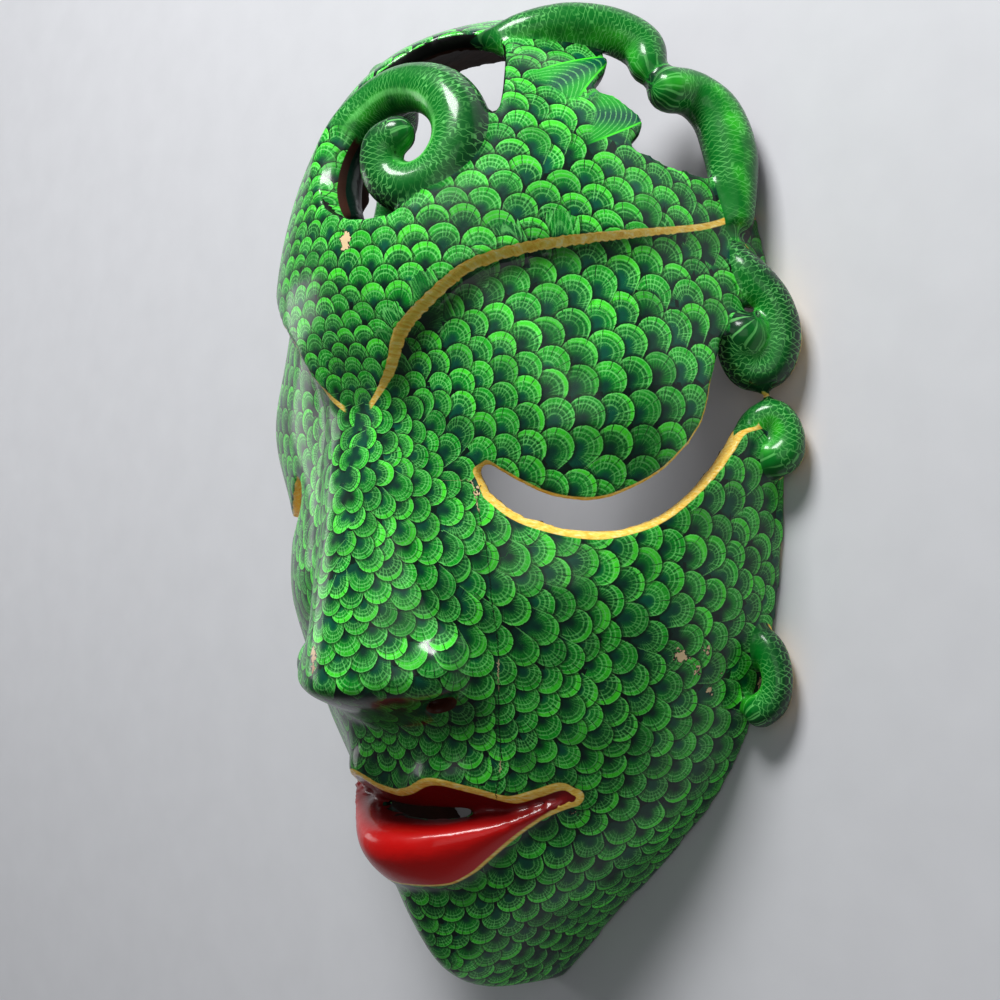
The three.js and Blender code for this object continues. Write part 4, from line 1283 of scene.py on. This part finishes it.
def batik():
    f = Finish("batik_paint")
    spot = f.node("ShaderNodeTexCoord", out="Object")
    grain = f.noise(spot, 900.0, 3.0)
    wide_grain = f.noise(spot, 60.0, 2.0)
    front, hollow, scroll = f.parts(f.attribute("depths"))
    brow_at, lip_at, slit_at = f.parts(f.attribute("lines"))
    arc, height, degrees = f.parts(f.attribute("flat"))
    roll_along, _, roll_kind = f.parts(f.attribute("roll"))
    crack_at, chip_at, wall_at = f.parts(f.attribute("wear"))
    roll_drop = f.number("roll_height")
    mouth_at = f.number("mouth_mm")

    colour = scale_coat(f, grain, wide_grain)
    # painted shade, partly the painter's own shading: darker green under the brow, below the nose and beside
    # the lips
    shade_under_brow = brow_at.ramp(-20.0, -2.0) * brow_at.ramp(0.0, -1.0) * degrees.size().ramp(5.0, 12.0)
    shade_under_nose = height.ramp(-118.0, -106.0) * height.ramp(-92.0, -98.0) * degrees.size().ramp(32.0, 20.0)
    shade_beside_lips = lip_at.ramp(9.0, 0.0) * 0.8
    colour = f.mix(shade_under_brow.most(shade_under_nose).most(shade_beside_lips) * FOLD_SHADE, colour, BLACK)
    on_leaf, leaf_colour = leaf_paint(f, grain)
    colour = f.mix(on_leaf, colour, leaf_colour)

    lip_in = lip_at.ramp(0.3, -0.3)
    red = f.mix(mouth_at.ramp(-2.0, -9.0), MAROON, RED)
    colour = f.mix(lip_in, colour, red)
    lip_gold_width = 0.3 + mouth_at.ramp(-7.0, -1.0) * (LIP_GOLD - 0.3)
    lip_gold = (lip_at - lip_gold_width).ramp(0.25, -0.25) * lip_at.ramp(-0.6, -0.2)
    off_bridge = degrees.size().ramp(3.2, 4.2)
    brow_gold = brow_at.ramp(-0.9, -0.4) * brow_at.ramp(BROW_GOLD + 0.2, BROW_GOLD - 0.2) * off_bridge
    slit_gold = slit_at.ramp(SLIT_GOLD + 0.2, SLIT_GOLD - 0.2) * height.ramp(40.0, 34.0)
    gold = lip_gold.most(brow_gold).most(slit_gold)
    streak = f.noise(f.vector(arc * 0.25, height * 0.9, front * 0.5), 1.3, 4.0, 0.6)
    gilt = f.mix(streak.ramp(0.3, 0.55), GOLD_DARK, GOLD)
    gilt = f.mix(streak.ramp(0.5, 0.72) * 0.75, gilt, GOLD_PALE)
    colour = f.mix(gold, colour, gilt)

    crack = (crack_at + (grain - 0.5) * 2.2).size().ramp(0.34, 0.16)
    colour = f.mix(crack * 0.85, colour, f.mix(wide_grain.ramp(0.55, 0.62), BLACK, CREAM))
    chip_edge = chip_at + 0.7 + (grain - 0.5) * 4.0 + (f.noise(spot, 420.0, 2.0) - 0.5) * 7.0
    chipped = chip_edge.ramp(0.15, -0.15)
    colour = f.mix(chip_edge.ramp(0.7, 0.4), colour, BLACK)
    bare = f.mix(height.ramp(-70.0, -90.0) * degrees.ramp(4.0, 2.0), CREAM, COPPER)
    colour = f.mix(chipped, colour, bare)

    roll_colour = roll_paint(f, wide_grain)
    foot = f.mix(roll_kind.ramp(2.5, 2.6), WALL_BLACK, gilt)
    roll_colour = f.mix(roll_drop.ramp(-0.35, -0.5), roll_colour, foot)
    roll_colour = f.mix(chipped, roll_colour, CREAM)
    wall = wall_at.ramp(-0.2, 0.2)
    at_eye = height.ramp(-40.0, -39.0) * height.ramp(40.0, 34.0)
    wall_colour = f.mix(at_eye, WALL_BLACK, gilt)
    wall_colour = f.mix(height.ramp(-120.0, -121.0), wall_colour, MAROON)
    in_nostril = height.ramp(-84.0, -88.0) * height.ramp(-112.0, -108.0)
    wall_colour = f.mix(in_nostril, wall_colour, STAIN)
    colour = f.mix(wall, colour, wall_colour)
    inside = (hollow - front).ramp(0.5, -0.5) * hollow.ramp(2.0, 1.6)
    colour = f.mix(inside, colour, f.mix(wide_grain, STAIN, WALL_BLACK))
    beyond_arm = roll_along.ramp(52.0, 58.0).most(roll_kind.ramp(0.5, 0.6))
    on_roll = (scroll - front).ramp(0.2, -0.2) * (scroll - hollow).ramp(0.2, -0.2) * beyond_arm
    colour = f.mix(on_roll, colour, roll_colour)

    fine = f.noise(spot, 2600.0, 2.0)
    hammered = f.noise(spot, 130.0, 1.0)
    grit = f.noise(spot, 620.0, 1.0)
    sanded = hammered * 1.6 + grit * 0.35 + fine * 0.2
    bump = f.node("ShaderNodeBump", None, {"Strength": 0.35, "Distance": 0.0006, "Height": sanded})
    shader = f.shader
    put(f.tree, shader.inputs["Base Color"], colour)
    put(f.tree, shader.inputs["Roughness"], 0.36 + grain * 0.2 + inside * 0.3)
    put(f.tree, shader.inputs["Coat Weight"], (1 - inside.most(wall * 0.8)) * 0.5)
    put(f.tree, shader.inputs["Normal"], bump)
    shader.inputs["Specular IOR Level"].default_value = 0.12
    shader.inputs["Coat Roughness"].default_value = 0.15
    return f.material


mesh.materials.clear()
mesh.materials.append(batik())
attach(mask, "root")
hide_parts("mask")
print("finish has", len(mesh.materials[0].node_tree.nodes), "nodes")

# %% [markdown]
# The mask lies on a plain pale floor. A large soft window beyond the crown gives the long bright
# spots on nose, forehead and rolls. A weaker window on the left draws the far edge, a broad soft
# light fills from the right, and a faint one inside the hollow lights the floor that is seen
# through the slits.

# %% Floor and light
FLOOR_HALF, FLOOR_GAP = 4, 0.0005  # metres; the gap keeps floor and rim apart


def floor():
    bm = bmesh.new()
    bmesh.ops.create_grid(bm, x_segments=1, y_segments=1, size=FLOOR_HALF)
    ob = as_object(bm, "floor")
    f = Finish("floor_paint")
    speck = f.noise(f.node("ShaderNodeTexCoord", out="Object"), 40.0, 3.0)
    put(f.tree, f.shader.inputs["Base Color"], f.mix(speck, rgb(196, 197, 201), rgb(204, 205, 209)))
    f.shader.inputs["Roughness"].default_value = 0.7
    ob.data.materials.append(f.material)
    ob.location.z = -FLOOR_GAP


def softbox(name, place, aim, size, power):
    data = bpy.data.lights.new(name, "AREA")
    data.shape, data.size, data.size_y = "RECTANGLE", *size
    data.energy = power
    ob = bpy.data.objects.new(name, data)
    ob.location = place
    ob.rotation_euler = (Vector(aim) - Vector(place)).to_track_quat("-Z", "Y").to_euler()
    bpy.context.scene.collection.objects.link(ob)


floor()
softbox("window", (0.1, 1.25, 1.0), (0.02, 0.05, 0.05), (0.7, 0.45), 34)
softbox("side window", (-1.3, 0.15, 0.5), (0, 0, 0.08), (0.35, 0.8), 2.5)
softbox("room", (1.1, 0.1, 1.5), (0.03, 0, 0.05), (1.1, 1.1), 3.5)
softbox("inside the hollow", (0, 0, 0.06), (0, 0, 0), (0.1, 0.26), 0.04)
world = bpy.data.worlds.new("studio")
world.use_nodes = True
world.node_tree.nodes["Background"].inputs[0].default_value = (0.92, 0.96, 1, 1)
world.node_tree.nodes["Background"].inputs[1].default_value = 0.12
bpy.context.scene.world = world
bpy.context.scene.view_settings.view_transform = "Standard"
print("lights", len(bpy.data.lights))

# %% [markdown]
# The camera stands where the photograph was taken: at the right of the mask and above it, close
# enough for the cheek to turn away.

# %% Camera
CAMERA_AT = (0.4960, -0.0647, 0.5602)
YAW, PITCH, TILT = math.radians(43.75), math.radians(-4.86), math.radians(1.09)
LENS, FILM = 54.96, 36  # mm
back = Vector((math.sin(YAW) * math.cos(PITCH), math.sin(PITCH), math.cos(YAW) * math.cos(PITCH)))
right = Vector((0, 1, 0)).cross(back).normalized()
upward = back.cross(right)
turn = Matrix.Rotation(TILT, 3, back)
right, upward = turn @ right, turn @ upward
camera = bpy.data.objects.new("camera", bpy.data.cameras.new("camera"))
camera.data.lens, camera.data.sensor_width = LENS, FILM
camera.matrix_world = Matrix.Translation(CAMERA_AT) @ Matrix((right, upward, back)).transposed().to_4x4()
bpy.context.scene.collection.objects.link(camera)
bpy.context.scene.camera = camera
print("camera axes", [round(v, 3) for v in (*right, *upward)])
